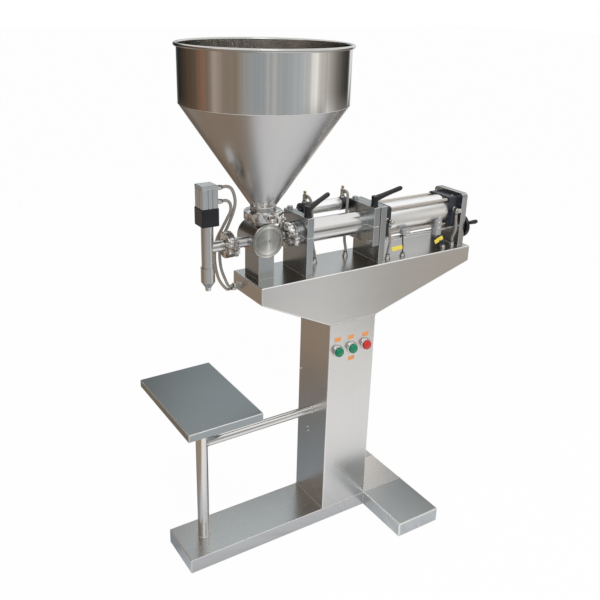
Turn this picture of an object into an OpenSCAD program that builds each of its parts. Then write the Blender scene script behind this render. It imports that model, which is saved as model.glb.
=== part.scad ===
// Piston filling machine: hopper, three-way valve, filling cylinder and air drive on a pedestal.
// X runs along the cylinders (nozzle at -X, handwheel at +X), -Y is the operator's side, +Z is up.

/* [Base] */
// Height of the welded foot channels
foot_h = 46; // [36:1:60]
// Depth of the main foot and of the column
foot_w = 150; // [140:2:156]
// Reach of the main foot under the tray, from the column's centre
foot_front = 517; // [490:1:560]
// Reach of the feet behind the column, from the column's centre
foot_back = 230; // [200:1:280]
// Width of the two side feet
side_foot_w = 150; // [90:2:150]
// Reach of each side foot from the centre plane
side_reach = 252; // [200:1:320]
// Thickness of the folded stainless sheets
sheet_t = 3; // [2:0.5:4]

/* [Column] */
// Width of the column
column_w = 158; // [150:1:164]
// Height of the column's top edge
column_top = 662; // [650:1:680]
// Thickness of the rear cover
cover_t = 2; // [1:0.5:3]
// Overlap of the rear cover round its opening
cover_lap = 12; // [10:1:16]

/* [Beam] */
// Reach of the beam towards the nozzle
beam_front = 298; // [290:1:302]
// Reach of the beam towards the handwheel
beam_back = 427; // [420:1:440]
// Depth of the beam
beam_w = 156; // [152:1:170]
// Height of the deck on which the plates stand
deck_z = 815; // [812:1:818]
// Height of the beam's end faces
beam_end_h = 48; // [40:1:70]

/* [Tray] */
// Length of the tray along the machine
tray_len = 212; // [160:1:220]
// Width of the tray across the machine
tray_w = 322; // [260:1:340]
// Height of the tray's folded edge
tray_edge = 20; // [12:1:30]
// Height of the tray's top face
tray_top = 503; // [440:1:560]
// Thickness of the tray's sheet
tray_t = 2; // [1:0.5:4]
// Distance of the post from the column's centre
post_x = 439; // [430:1:450]
// Diameter of the post
post_d = 33; // [28:1:40]
// Height of the cross bar
bar_z = 355; // [250:1:420]
// Diameter of the cross bar
bar_d = 25; // [18:1:28]
// Wall of the post and of the cross bar
tube_t = 2; // [1:0.5:4]

/* [Buttons] */
// Height of the push buttons
button_z = 578; // [480:1:610]
// Distance between the push buttons
button_pitch = 48.5; // [44:0.5:50]
// Diameter of the panel hole of a button
button_hole = 22; // [16:1:24]
// Diameter of a button's bezel
bezel_d = 36; // [32:1:40]
// Diameter of a button's cap
cap_d = 27; // [24:1:28]
// Travel of a push button
button_travel = 4; // [2:0.5:5]

/* [Hopper] */
// Distance of the hopper and the valve from the column's centre
valve_x = 253; // [250:1:256]
// Outer radius of the hopper
hopper_r = 208; // [160:1:216]
// Height of the hopper's rim
hopper_top = 1408; // [1340:1:1500]
// Height of the seam between cylinder and cone
hopper_seam = 1269; // [1220:1:1300]
// Height of the cone's lower end
cone_z = 1012; // [1006:1:1030]
// Outer radius of the hopper's neck
neck_r = 33; // [28:1:34]
// Wall of the hopper
hopper_t = 2; // [1:0.5:3]
// Radius of the rolled rim
rim_r = 4.5; // [3:0.5:6]

/* [Valve] */
// Height of the axis of the valve and both cylinders
axis_z = 922; // [920:1:924]
// Outer radius of the valve body
valve_r = 45; // [44:1:47]
// Radius of the valve's plug
plug_r = 30; // [28:1:32]
// Front face of the valve body, behind the cover
valve_front = -25; // [-30:1:-24]
// Rear face of the valve body
valve_rear = 58; // [56:1:59]
// Outer radius of the side ports
port_r = 14; // [12:1:16]
// Inner radius of the side ports
port_bore = 11; // [8:1:12]
// Radius of the crank from the plug's axis to its pin
crank_r = 43; // [42:0.5:44]

/* [Filling cylinder] */
// Outer radius of the filling cylinder
fill_r = 32; // [28:1:34]
// Wall of the filling cylinder
fill_t = 3; // [2:0.5:4]
// Stroke of the piston
stroke = 170; // [160:1:176]
// Radius of the piston rod
rod_r = 10; // [8:0.5:11]

/* [Plates] */
// Thickness of the standing plates
plate_t = 20; // [16:1:20]
// Width of the standing plates
plate_w = 120; // [114:1:124]
// Height of the plates' top edges
plate_top = 976; // [972:1:980]
// Left face of the front plate, measured from the column's centre
front_plate_x = -154; // [-156:1:-152]
// Left face of the floating clamp plate
clamp_plate_x = 64; // [60:1:64]
// Left face of the plate that carries the drive cylinder
mount_plate_x = 87; // [87:1:90]
// Lower edge of the floating clamp plate
clamp_plate_z = 866; // [850:1:876]

/* [Drive cylinder] */
// Outer radius of the drive cylinder's tube
drive_r = 43; // [36:1:43]
// Wall of the drive cylinder's tube
drive_t = 3; // [2:0.5:4]
// Side of the square end caps
drive_cap = 90; // [88:1:90]
// Length of the front end cap
drive_cap_front = 28; // [22:1:30]
// Length of the rear end cap
drive_cap_rear = 37; // [30:1:40]
// Radius of the tie rods
tie_r = 5; // [4:0.5:5]

/* [Handwheel] */
// Radius of the handwheel
wheel_r = 35.5; // [30:0.5:40]
// Height of the stroke screw
screw_z = 870; // [868:0.5:870]
// Distance of the stroke screw in front of the centre plane
screw_y = 36; // [34:0.5:37]
// Radius of the stroke screw
screw_r = 5; // [4:0.5:5]

/* [Clamping levers] */
// Length of a lever's arm
lever_len = 80; // [60:1:84]
// Distance of the levers and rear bolts from the centre plane
stud_y = 44; // [42:1:46]
// Radius of the studs and bolts through the plates
stud_r = 5; // [4:0.5:6]

/* [Nozzle] */
// Distance of the nozzle from the column's centre
nozzle_x = 412; // [406:1:418]
// Outer radius of the nozzle tube
nozzle_r = 15.5; // [13:0.5:17]
// Height of the nozzle's tip
nozzle_tip_z = 808; // [800:1:812]
// Lift of the shut-off stem
stem_lift = 12; // [6:1:14]
// Side of the square nozzle actuator
nozzle_act = 44; // [38:1:46]

/* [Hoses] */
// Radius of an air hose
hose_r = 4; // [3:0.5:4]
// Radius of a sensor cable
cable_r = 2; // [1.5:0.5:2.5]

/* [Hidden] */
$fn = 64;
cut = 1;            // overrun of a cutting solid past the face that it opens
run_fit = 0.05;     // radial clearance of a running fit
seat_gap = 0.3;     // clearance between curved faces that don't run on each other
half_w = foot_w / 2;

// Solids placed by their true ends
module slab(a, b) { translate(a) cube(b - a); }
module x_rod(x0, x1, r, y = 0, z = axis_z) { translate([x0, y, z]) rotate([0, 90, 0]) cylinder(h = x1 - x0, r = r); }
module y_rod(y0, y1, r, x, z) { translate([x, y0, z]) rotate([-90, 0, 0]) cylinder(h = y1 - y0, r = r); }
module z_rod(z0, z1, r, x, y = 0) { translate([x, y, z0]) cylinder(h = z1 - z0, r = r); }

// Corner points of a closed outline, moved inwards by the sheet's thickness
function inset(p, t) = [for (i = [0 : len(p) - 1])
  let (a = p[(i + len(p) - 1) % len(p)], b = p[i], c = p[(i + 1) % len(p)],
       d = (b - a) / norm(b - a), e = (c - b) / norm(c - b),
       m = [-d[1], d[0]], n = [-e[1], e[0]])
  b + t * (m + n) / (1 + m * n)];

// Base: hollow welded channels
foot_mouth = 50;    // half width of the opening between the foot's inside and the column
module main_foot() {
  color("silver") difference() {
    slab([-foot_front, -half_w, 0], [foot_back, half_w, foot_h]);
    slab([-foot_front + sheet_t, -half_w + sheet_t, sheet_t],
         [foot_back - sheet_t, half_w - sheet_t, foot_h - sheet_t]);
    slab([-foot_mouth, -foot_mouth, foot_h - 2 * sheet_t], [foot_mouth, foot_mouth, foot_h + cut]);
  }
}
module side_feet() {
  color("silver") for (s = [0, 1]) mirror([0, s, 0]) difference() {
    slab([foot_back - side_foot_w, half_w, 0], [foot_back, side_reach, foot_h]);
    slab([foot_back - side_foot_w + sheet_t, half_w - cut, sheet_t],
         [foot_back - sheet_t, side_reach - sheet_t, foot_h - sheet_t]);
  }
}

// Column: a folded sheet box with a service opening in its rear wall
window_w = column_w - 44;
window_z0 = foot_h + 40;
window_below_top = 130;
window_z1 = column_top - window_below_top;
module column() {
  color("silver") difference() {
    slab([-column_w / 2, -half_w, foot_h], [column_w / 2, half_w, column_top]);
    slab([-column_w / 2 + sheet_t, -half_w + sheet_t, foot_h - cut],
         [column_w / 2 - sheet_t, half_w - sheet_t, column_top + cut]);
    slab([-window_w / 2, 0, window_z0], [window_w / 2, half_w + cut, window_z1]);
    for (i = [-1 : 1]) y_rod(-half_w - cut, 0, button_hole / 2 + run_fit, button_x(i), button_z);
    for (p = screw_places()) y_rod(0, half_w + cut, screw_hole, p[0], p[1]);
  }
}
screw_hole = 2.2;
screw_shank = 2;
screw_head = 4;
function screw_places() = [for (x = [-1, 1], t = [0, 0.5, 1])
  [x * (window_w / 2 + cover_lap / 2), window_z0 + t * (window_z1 - window_z0)]];
module rear_cover() {
  color("silver") difference() {
    slab([-window_w / 2 - cover_lap, half_w, window_z0 - cover_lap],
         [window_w / 2 + cover_lap, half_w + cover_t, window_z1 + cover_lap]);
    for (p = screw_places()) y_rod(half_w - cut, half_w + cover_t + cut, screw_hole, p[0], p[1]);
  }
}
module cover_screws() {
  color("gray") for (p = screw_places()) {
    y_rod(half_w - sheet_t - 4, half_w + cover_t + cut, screw_shank, p[0], p[1]);
    y_rod(half_w + cover_t, half_w + cover_t + 2.5, screw_head, p[0], p[1]);
  }
}

// Beam: a welded sheet box that tapers from the column to both ends
function beam_outline() = [[-column_w / 2, column_top], [column_w / 2, column_top],
  [beam_back, deck_z - beam_end_h], [beam_back, deck_z], [-beam_front, deck_z],
  [-beam_front, deck_z - beam_end_h]];
beam_y0 = -half_w;
beam_y1 = beam_y0 + beam_w;
module beam_prism(points, y0, y1) {
  translate([0, y1, 0]) rotate([90, 0, 0]) linear_extrude(y1 - y0) polygon(points);
}
module beam() {
  color("silver") difference() {
    beam_prism(beam_outline(), beam_y0, beam_y1);
    beam_prism(inset(beam_outline(), sheet_t), beam_y0 + sheet_t, beam_y1 - sheet_t);
    slab([-foot_mouth, -foot_mouth, column_top - cut], [foot_mouth, foot_mouth, column_top + 2 * sheet_t]);
  }
}

// Bottle tray: a folded pan on a post that a bar ties to the column
post_y = 6;
tray_shift = 5;
tray_y = post_y + tray_shift;
module tray_post() {
  color("silver") difference() {
    z_rod(foot_h, tray_top - tray_t, post_d / 2, -post_x, post_y);
    z_rod(foot_h - cut, tray_top, post_d / 2 - tube_t, -post_x, post_y);
  }
}
module tray() {
  color("lightsteelblue") difference() {
    slab([-post_x - tray_len / 2, tray_y - tray_w / 2, tray_top - tray_edge],
         [-post_x + tray_len / 2, tray_y + tray_w / 2, tray_top]);
    slab([-post_x - tray_len / 2 + tray_t, tray_y - tray_w / 2 + tray_t, tray_top - tray_edge - cut],
         [-post_x + tray_len / 2 - tray_t, tray_y + tray_w / 2 - tray_t, tray_top - tray_t]);
  }
}
module tray_bar() {
  color("silver") difference() {
    x_rod(-post_x, -column_w / 2, bar_d / 2, post_y, bar_z);
    x_rod(-post_x - cut, -column_w / 2 + cut, bar_d / 2 - tube_t, post_y, bar_z);
    z_rod(bar_z - bar_d, bar_z + bar_d, post_d / 2 + seat_gap, -post_x, post_y);
  }
}

// Air valves inside the column, on its left wall
bank_x = -column_w / 2 + sheet_t;
bank_y = 40;
bank_z = 430;
rail_w = 30;
rail_h = 25;
air_valve_w = 20;
air_valve_h = 80;
air_valve_pitch = 26;
module solenoid_bank() {
  color("dimgray") {
    slab([bank_x, -bank_y, bank_z], [bank_x + rail_w, bank_y, bank_z + rail_h]);
    for (i = [-1 : 1]) let (y = i * air_valve_pitch)
      slab([bank_x + 3, y - air_valve_w / 2, bank_z + rail_h],
           [bank_x + rail_w - 3, y + air_valve_w / 2, bank_z + rail_h + air_valve_h]);
  }
}

// Push buttons
button_row_x = -2;
bezel_out = 8;
thread_in = 20;     // how far a button's barrel reaches behind the panel
barrel_bore = 9;
function button_x(i) = button_row_x + i * button_pitch;
module button_bezels() {
  color("gainsboro") for (i = [-1 : 1]) translate([button_x(i), -half_w, button_z]) rotate([90, 0, 0])
    difference() {
      union() {
        rotate_extrude() polygon([[0, 0], [bezel_d / 2, 0], [bezel_d / 2, bezel_out * 0.4],
                                  [bezel_d / 2 - 2.5, bezel_out], [0, bezel_out]]);
        translate([0, 0, -thread_in]) cylinder(h = thread_in + cut, r = button_hole / 2);
        translate([0, 0, -sheet_t - 5]) cylinder(h = 5, r = button_hole / 2 + 4, $fn = 6);
      }
      translate([0, 0, -thread_in - cut]) cylinder(h = thread_in + bezel_out, r = barrel_bore);
      translate([0, 0, bezel_out - 5]) cylinder(h = 5 + cut, r = cap_d / 2 + seat_gap);
    }
}
module button_cap(i, paint) {
  color(paint) translate([button_x(i), -half_w, button_z]) rotate([90, 0, 0]) {
    translate([0, 0, bezel_out - 5 + button_travel + seat_gap])
      rotate_extrude() polygon([[0, 0], [cap_d / 2, 0], [cap_d / 2, 5], [cap_d / 2 - 2, 9.5],
                                [cap_d / 4, 10.4], [0, 10.6]]);
    translate([0, 0, -thread_in + button_travel + seat_gap])
      cylinder(h = thread_in + bezel_out - 5 + cut, r = barrel_bore - run_fit);
  }
}
module start_button() { button_cap(-1, "green"); }
module cycle_button() { button_cap(0, "green"); }
module stop_button() { button_cap(1, "red"); }
module contact_blocks() {
  color("whitesmoke") for (i = [-1 : 1])
    slab([button_x(i) - 14, -half_w + thread_in, button_z - 20], [button_x(i) + 14, -half_w + thread_in + 30, button_z + 20]);
}

// Hopper: a cylinder with a rolled rim, welded to a cone that ends in a neck and its ferrule
hopper_joint = 988; // height of the gasket's middle plane under the hopper
gasket_t = 2;
ferrule_t = 6;
big_ferrule = 42;
small_ferrule = 26;
neck_bore = neck_r - hopper_t;
module ferrule_ring(rf, rt, bore, len) {
  rotate_extrude() polygon([[bore, 0], [rf, 0], [rf, 2.5], [rt, ferrule_t], [rt, len], [bore, len]]);
}
module hopper() {
  color("silver") translate([-valve_x, 0, 0]) {
    rotate_extrude() polygon([[hopper_r - hopper_t, hopper_seam], [hopper_r, hopper_seam],
      [hopper_r, hopper_top - rim_r], [hopper_r - hopper_t, hopper_top - rim_r]]);
    rotate_extrude() translate([hopper_r + rim_r - hopper_t, hopper_top - rim_r]) circle(r = rim_r, $fn = 32);
  }
}
module hopper_cone() {
  color("silver") translate([-valve_x, 0, 0]) rotate_extrude() polygon([
    [neck_bore, hopper_joint + gasket_t / 2], [big_ferrule, hopper_joint + gasket_t / 2],
    [big_ferrule, hopper_joint + gasket_t / 2 + 2.5], [neck_r, hopper_joint + gasket_t / 2 + ferrule_t],
    [neck_r, cone_z], [hopper_r, hopper_seam], [hopper_r - hopper_t, hopper_seam],
    [neck_bore, cone_z + hopper_t / 3]]);
}

// Ferrule joints: where the three sanitary clamps sit
nozzle_joint_x = -357;
cylinder_joint_x = -180;
module clamp_gaskets() {
  color("white") {
    translate([-valve_x, 0, hopper_joint - gasket_t / 2]) difference() {
      cylinder(h = gasket_t, r = big_ferrule);
      translate([0, 0, -cut]) cylinder(h = gasket_t + 2 * cut, r = neck_bore);
    }
    for (x = [nozzle_joint_x, cylinder_joint_x]) difference() {
      x_rod(x - gasket_t / 2, x + gasket_t / 2, small_ferrule);
      x_rod(x - gasket_t, x + gasket_t, port_bore);
    }
  }
}

// Sanitary clamp round a vertical pipe: two shells, a hinge at +Y and a bolt along X at -Y
clamp_wall = 8;
clamp_half = 12;
function bolt_place(rf) = rf + clamp_wall + 13;
module clamp_shells(rf, rt) {
  ro = rf + clamp_wall;
  for (s = [0, 1]) mirror([s, 0, 0]) difference() {
    union() {
      intersection() {
        rotate_extrude() polygon([[rt + 1.2, clamp_half], [ro, clamp_half - 2], [ro, -clamp_half + 2], [rt + 1.2, -clamp_half],
          [rt + 1.2, -ferrule_t - gasket_t], [rf + 0.4, -gasket_t - 2], [rf + 0.4, gasket_t + 2], [rt + 1.2, ferrule_t + gasket_t]]);
        slab([1, -ro - cut, -clamp_half - cut], [ro + cut, ro + cut, clamp_half + cut]);
      }
      slab([1.2, -ro - 21, -8], [9, -ro + 3, 8]);
      slab([1.2, ro - 2, -8], [7, ro + 6, 8]);
    }
    translate([0, -bolt_place(rf), 0]) rotate([0, 90, 0]) cylinder(h = 40, r = 4.4);
  }
  translate([-16, -bolt_place(rf), 0]) rotate([0, 90, 0]) cylinder(h = 44, r = 4);
  translate([-15.5, -bolt_place(rf), 0]) rotate([0, 90, 0]) cylinder(h = 6.4, r = 7);
}
module wing_nut(rf) {
  translate([9.3, -bolt_place(rf), 0]) rotate([0, 90, 0]) difference() {
    union() {
      cylinder(h = 9, r1 = 7, r2 = 5.6);
      for (s = [0, 1]) mirror([s, 0, 0]) hull() {
        translate([4, -1.5, 1]) cube([2, 3, 5]);
        translate([9.5, 1.5, 11]) rotate([90, 0, 0]) cylinder(h = 3, r = 2.4, $fn = 32);
      }
    }
    translate([0, 0, -cut]) cylinder(h = 20, r = 4 + run_fit);
  }
}
module at_hopper_joint() { translate([-valve_x, 0, hopper_joint]) children(); }
module at_side_joint(x) { translate([x, 0, axis_z]) rotate([0, -90, 0]) children(); }
module hopper_clamp() { color("silver") at_hopper_joint() clamp_shells(big_ferrule, neck_r); }
module port_clamps() {
  color("silver") for (x = [nozzle_joint_x, cylinder_joint_x]) at_side_joint(x) clamp_shells(small_ferrule, port_r);
}
module hopper_wing_nut() { color("silver") at_hopper_joint() wing_nut(big_ferrule); }
module nozzle_wing_nut() { color("silver") at_side_joint(nozzle_joint_x) wing_nut(small_ferrule); }
module cylinder_wing_nut() { color("silver") at_side_joint(cylinder_joint_x) wing_nut(small_ferrule); }

// Three-way valve: a turned body with a plug along Y
plug_end = valve_rear - 8;
valve_neck_r = -valve_front - 1;
stem_r = 8;
module valve_body() {
  color("silver") difference() {
    union() {
      y_rod(valve_front, valve_rear, valve_r, -valve_x, axis_z);
      translate([nozzle_joint_x + gasket_t / 2, 0, axis_z]) rotate([0, 90, 0])
        ferrule_ring(small_ferrule, port_r, 0, -valve_x - nozzle_joint_x - gasket_t / 2);
      translate([cylinder_joint_x - gasket_t / 2, 0, axis_z]) rotate([0, -90, 0])
        ferrule_ring(small_ferrule, port_r, 0, cylinder_joint_x - gasket_t / 2 + valve_x);
      translate([-valve_x, 0, hopper_joint - gasket_t / 2]) rotate([180, 0, 0])
        ferrule_ring(big_ferrule, valve_neck_r, 0, hopper_joint - gasket_t / 2 - axis_z);
    }
    y_rod(valve_front - cut, plug_end, plug_r + run_fit, -valve_x, axis_z);
    y_rod(0, valve_rear + cut, stem_r + run_fit, -valve_x, axis_z);
    x_rod(nozzle_joint_x - cut, cylinder_joint_x + cut, port_bore);
    z_rod(axis_z, hopper_joint + cut, valve_neck_r - 2, -valve_x);
  }
}
cover_ring = 6;
module valve_cover() {
  color("gainsboro") difference() {
    translate([-valve_x, valve_front, axis_z]) rotate([90, 0, 0]) rotate_extrude()
      polygon([[0, 0], [valve_r + 1, 0], [valve_r + 1, cover_ring - 1.5], [valve_r - 0.5, cover_ring], [0, cover_ring]]);
    y_rod(valve_front - cover_ring - cut, valve_front - 2, 2, -valve_x, axis_z + 14);
  }
}
// The plug's T channel joins the cylinder and the nozzle at rest, the hopper and the cylinder when turned
module valve_plug() {
  color("gray") difference() {
    union() {
      y_rod(valve_front + seat_gap, plug_end - seat_gap, plug_r, -valve_x, axis_z);
      y_rod(0, crank_y + crank_t - cut, stem_r, -valve_x, axis_z);
    }
    x_rod(-valve_x - plug_r - cut, -valve_x + plug_r + cut, port_bore);
    z_rod(axis_z - plug_r - cut, axis_z, port_bore, -valve_x);
  }
}
crank_y = 62;
crank_t = 8;
crank_pin_r = 5;
crank_hub = 15;
crank_half = 7;     // half the width of the crank's arm
crank_step = 1;     // how far the arm's faces lie behind those of the hub and the eye
crank_lean = 45;
pin_x = -valve_x + crank_r * sin(crank_lean);
pin_z = axis_z + crank_r * cos(crank_lean);
module valve_crank() {
  color("gray") {
    difference() {
      union() {
        y_rod(crank_y, crank_y + crank_t, crank_hub, -valve_x, axis_z);
        translate([-valve_x, crank_y, axis_z]) rotate([0, crank_lean, 0]) {
          translate([-crank_half, crank_step, stem_r + 2])
            cube([2 * crank_half, crank_t - 2 * crank_step, crank_r - stem_r - 4]);
          translate([0, 0, crank_r]) rotate([-90, 0, 0]) cylinder(h = crank_t, r = crank_half + 2);
        }
      }
      y_rod(crank_y - cut, crank_y + crank_t + cut, stem_r + run_fit, -valve_x, axis_z);
    }
    y_rod(crank_y + crank_t - cut, actuator_y + yoke_t / 2 + 2, crank_pin_r, pin_x, pin_z);
  }
}
// Bent bracket that carries the valve: a box open at the back and below
block_w = 46;
block_y0 = -20;
block_y1 = 55;
saddle_gap = 0.3;
module valve_support() {
  color("silver") difference() {
    slab([-valve_x - block_w / 2, block_y0, deck_z], [-valve_x + block_w / 2, block_y1, axis_z - valve_r + 6]);
    slab([-valve_x - block_w / 2 + sheet_t, block_y0 + sheet_t, deck_z - cut],
         [-valve_x + block_w / 2 - sheet_t, block_y1 + cut, axis_z - valve_r - 2 * sheet_t]);
    y_rod(block_y0 - cut, block_y1 + cut, valve_r + saddle_gap, -valve_x, axis_z);
  }
}

// Small air cylinder that turns the valve
actuator_y = 75;
actuator_z = axis_z + crank_r * (1 + cos(crank_lean)) / 2;
actuator_r = 17.5;
actuator_bore = 16;
barrel_x0 = -62;
barrel_x1 = 40;
cap_len_front = 30;
cap_len_rear = 22;
rod_small_r = 5;
pivot_x = 76;
pivot_r = 3;
yoke_t = 8;
fork_gap = 3.3;     // half the gap between the fork's ears
fork_t = 3.2;
module actuator_barrel() {
  color("white") difference() {
    x_rod(barrel_x0, barrel_x1, actuator_r, actuator_y, actuator_z);
    x_rod(barrel_x0 - cut, barrel_x1 + cut, actuator_bore, actuator_y, actuator_z);
  }
}
module actuator_caps() {
  color("midnightblue") {
    difference() {
      union() {
        x_rod(barrel_x0 - cap_len_front, barrel_x0, actuator_r + 1, actuator_y, actuator_z);
        x_rod(barrel_x0 - cap_len_front - 8, barrel_x0 - cut, 9, actuator_y, actuator_z);
      }
      x_rod(barrel_x0 - cap_len_front - 10, barrel_x0 + cut, rod_small_r + run_fit, actuator_y, actuator_z);
    }
    difference() {
      union() {
        x_rod(barrel_x1, barrel_x1 + cap_len_rear, actuator_r + 1, actuator_y, actuator_z);
        for (s = [-1, 1]) translate([0, actuator_y + s * (fork_gap + fork_t / 2), 0]) {
          slab([barrel_x1 + cap_len_rear - cut, -fork_t / 2, actuator_z - 7], [pivot_x, fork_t / 2, actuator_z + 7]);
          y_rod(-fork_t / 2, fork_t / 2, 7, pivot_x, actuator_z);
        }
      }
      y_rod(actuator_y - 12, actuator_y + 12, pivot_r + seat_gap / 2, pivot_x, actuator_z);
    }
  }
}
yoke_half = crank_pin_r + 1.6;
yoke_reach = crank_r * (1 - cos(crank_lean)) / 2 + crank_pin_r + 0.6;
piston_x = 20;
yoke_collar = 10;
small_piston_t = 12;
module actuator_rod() {
  color("silver") {
    difference() {
      slab([pin_x - 13, actuator_y - yoke_t / 2, actuator_z - 20], [pin_x + 13, actuator_y + yoke_t / 2, actuator_z + 20]);
      slab([pin_x - yoke_half, actuator_y - yoke_t, actuator_z - yoke_reach],
           [pin_x + yoke_half, actuator_y + yoke_t, actuator_z + yoke_reach]);
    }
    x_rod(pin_x + 12, piston_x + cut, rod_small_r, actuator_y, actuator_z);
    x_rod(pin_x + 12, pin_x + 12 + yoke_collar, 8, actuator_y, actuator_z);
    x_rod(piston_x, piston_x + small_piston_t, actuator_bore - run_fit, actuator_y, actuator_z);
  }
}
lug_half = fork_gap - 0.3;
module actuator_bracket() {
  color("silver") {
    difference() {
      union() {
        slab([clamp_plate_x, plate_w / 2, actuator_z - 18], [pivot_x + 16, plate_w / 2 + 4, actuator_z + 16]);
        slab([pivot_x + 11, plate_w / 2, actuator_z - 10], [pivot_x + 16, actuator_y + lug_half, actuator_z + 10]);
        slab([pivot_x - 7, actuator_y - lug_half, actuator_z - 10], [pivot_x + 12, actuator_y + lug_half, actuator_z + 10]);
      }
      y_rod(actuator_y - 12, actuator_y + 12, pivot_r + seat_gap / 2, pivot_x, actuator_z);
    }
    y_rod(actuator_y - 8, actuator_y + 8, pivot_r, pivot_x, actuator_z);
  }
}

// Standing plates; the drive cylinder's length sets the end plate's place
drive_piston_t = 30;
drive_x0 = mount_plate_x + plate_t;
tube_x0 = drive_x0 + drive_cap_front;
drive_piston_x = tube_x0 + 2;
tube_x1 = drive_piston_x + drive_piston_t + stroke + 17;
drive_x1 = tube_x1 + drive_cap_rear;
end_plate_x = drive_x1;
split_gap = 0.4;
module split_bore() { x_rod(-beam_front, beam_back, fill_r + seat_gap / 2); }
module stud_holes(x) { for (s = [-1, 1]) z_rod(axis_z - 40, plate_top + cut, stud_r + seat_gap, x + plate_t / 2, s * stud_y); }
module front_plate() {
  color("silver") difference() {
    slab([front_plate_x, -plate_w / 2, deck_z], [front_plate_x + plate_t, plate_w / 2, axis_z]);
    split_bore();
    stud_holes(front_plate_x);
  }
}
module clamp_plate() {
  color("silver") difference() {
    slab([clamp_plate_x, -plate_w / 2, clamp_plate_z], [clamp_plate_x + plate_t, plate_w / 2, axis_z]);
    split_bore();
    stud_holes(clamp_plate_x);
    for (s = [-1, 1]) x_rod(clamp_plate_x - cut, clamp_plate_x + plate_t + cut, link_r + seat_gap, s * link_y, link_z);
  }
}
module plate_caps() {
  color("silver") for (x = [front_plate_x, clamp_plate_x]) difference() {
    slab([x, -plate_w / 2, axis_z + split_gap], [x + plate_t, plate_w / 2, plate_top]);
    split_bore();
    stud_holes(x);
  }
}
link_r = 4;
link_y = 44;
link_z = axis_z - 46;
module mount_plate() {
  color("silver") difference() {
    slab([mount_plate_x, -plate_w / 2, deck_z], [mount_plate_x + plate_t, plate_w / 2, plate_top]);
    x_rod(mount_plate_x - cut, mount_plate_x + plate_t + cut, rod_r + 2);
    x_rod(mount_plate_x + plate_t - 10, mount_plate_x + plate_t + cut, screw_r + run_fit, -screw_y, screw_z);
    for (s = [-1, 1]) x_rod(mount_plate_x - cut, mount_plate_x + 12, link_r + seat_gap, s * link_y, link_z);
  }
}
end_round = 12;
module end_plate() {
  color("silver") difference() {
    union() {
      slab([end_plate_x, -plate_w / 2, deck_z], [end_plate_x + plate_t, plate_w / 2, plate_top - end_round]);
      slab([end_plate_x, -plate_w / 2 + end_round, deck_z], [end_plate_x + plate_t, plate_w / 2 - end_round, plate_top]);
      for (s = [-1, 1]) x_rod(end_plate_x, end_plate_x + plate_t, end_round, s * (plate_w / 2 - end_round), plate_top - end_round);
    }
    x_rod(end_plate_x - cut, end_plate_x + plate_t + cut, screw_r + run_fit, -screw_y, screw_z);
  }
}
bolt_head_h = 8;
module plate_bolts() {
  color("gray") {
    for (x = [front_plate_x, clamp_plate_x]) {
      z_rod(axis_z - 36, plate_top + cut, stud_r, x + plate_t / 2, stud_y);
      z_rod(plate_top, plate_top + bolt_head_h, stud_r * 1.6, x + plate_t / 2, stud_y);
    }
    for (s = [-1, 1]) {
      x_rod(clamp_plate_x - 6, mount_plate_x + 11, link_r, s * link_y, link_z);
      x_rod(clamp_plate_x - 6, clamp_plate_x, link_r * 1.7, s * link_y, link_z);
      x_rod(clamp_plate_x + plate_t, mount_plate_x, link_r * 1.7, s * link_y, link_z);
    }
  }
}

// Clamping lever: a hub on a stud and a cranked arm that rises to its tip
hub_r = 10.5;
hub_h = 30;
lever_rise = 20;
lever_stud = 56;
module clamp_lever(x, turn) {
  translate([x + plate_t / 2, -stud_y, plate_top + seat_gap]) rotate([0, 0, turn]) {
    color("black") {
      cylinder(h = hub_h * 0.7, r1 = hub_r, r2 = hub_r - 1.5);
      hull() {
        translate([0, 0, hub_h - 10]) cylinder(h = 10, r = hub_r - 1.5, $fn = 32);
        translate([lever_len * 0.3, 0, hub_h - 2]) sphere(r = 6, $fn = 32);
      }
      hull() {
        translate([lever_len * 0.3, 0, hub_h - 2]) sphere(r = 6, $fn = 32);
        translate([lever_len - 6, 0, hub_h + lever_rise - 6]) sphere(r = 6, $fn = 32);
      }
    }
    color("gray") translate([0, 0, -lever_stud]) cylinder(h = lever_stud + 1, r = stud_r);
  }
}
module front_lever() { clamp_lever(front_plate_x, 13); }
module rear_lever() { clamp_lever(clamp_plate_x, -15); }

// Filling cylinder: a tube closed at its left end by a port with a ferrule
fill_x0 = front_plate_x - 12;
fill_x1 = clamp_plate_x + plate_t;
fill_end_t = 8;
module filling_cylinder() {
  color("silver") difference() {
    union() {
      x_rod(fill_x0, fill_x1, fill_r);
      translate([cylinder_joint_x + gasket_t / 2, 0, axis_z]) rotate([0, 90, 0])
        ferrule_ring(small_ferrule, port_r, 0, fill_x0 - cylinder_joint_x);
    }
    x_rod(fill_x0 + fill_end_t, fill_x1 + cut, fill_r - fill_t);
    x_rod(cylinder_joint_x, fill_x1, port_bore);
  }
}
piston_front = fill_x0 + fill_end_t + 2;
piston_len = 30;
groove_r = 25;
seal_w = 5;
function seal_places() = [piston_front + 6, piston_front + piston_len - 11];
module filling_piston() {
  color("gray") difference() {
    x_rod(piston_front, piston_front + piston_len, fill_r - fill_t - seat_gap);
    for (x = seal_places()) difference() {
      x_rod(x, x + seal_w, fill_r);
      x_rod(x - cut, x + seal_w + cut, groove_r);
    }
  }
}
module piston_seals() {
  color("black") for (x = seal_places()) difference() {
    x_rod(x, x + seal_w, fill_r - fill_t - run_fit);
    x_rod(x - cut, x + seal_w + cut, groove_r + run_fit);
  }
}
module piston_rod() {
  color("lightgray") x_rod(piston_front + piston_len, drive_piston_x, rod_r);
}

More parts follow.
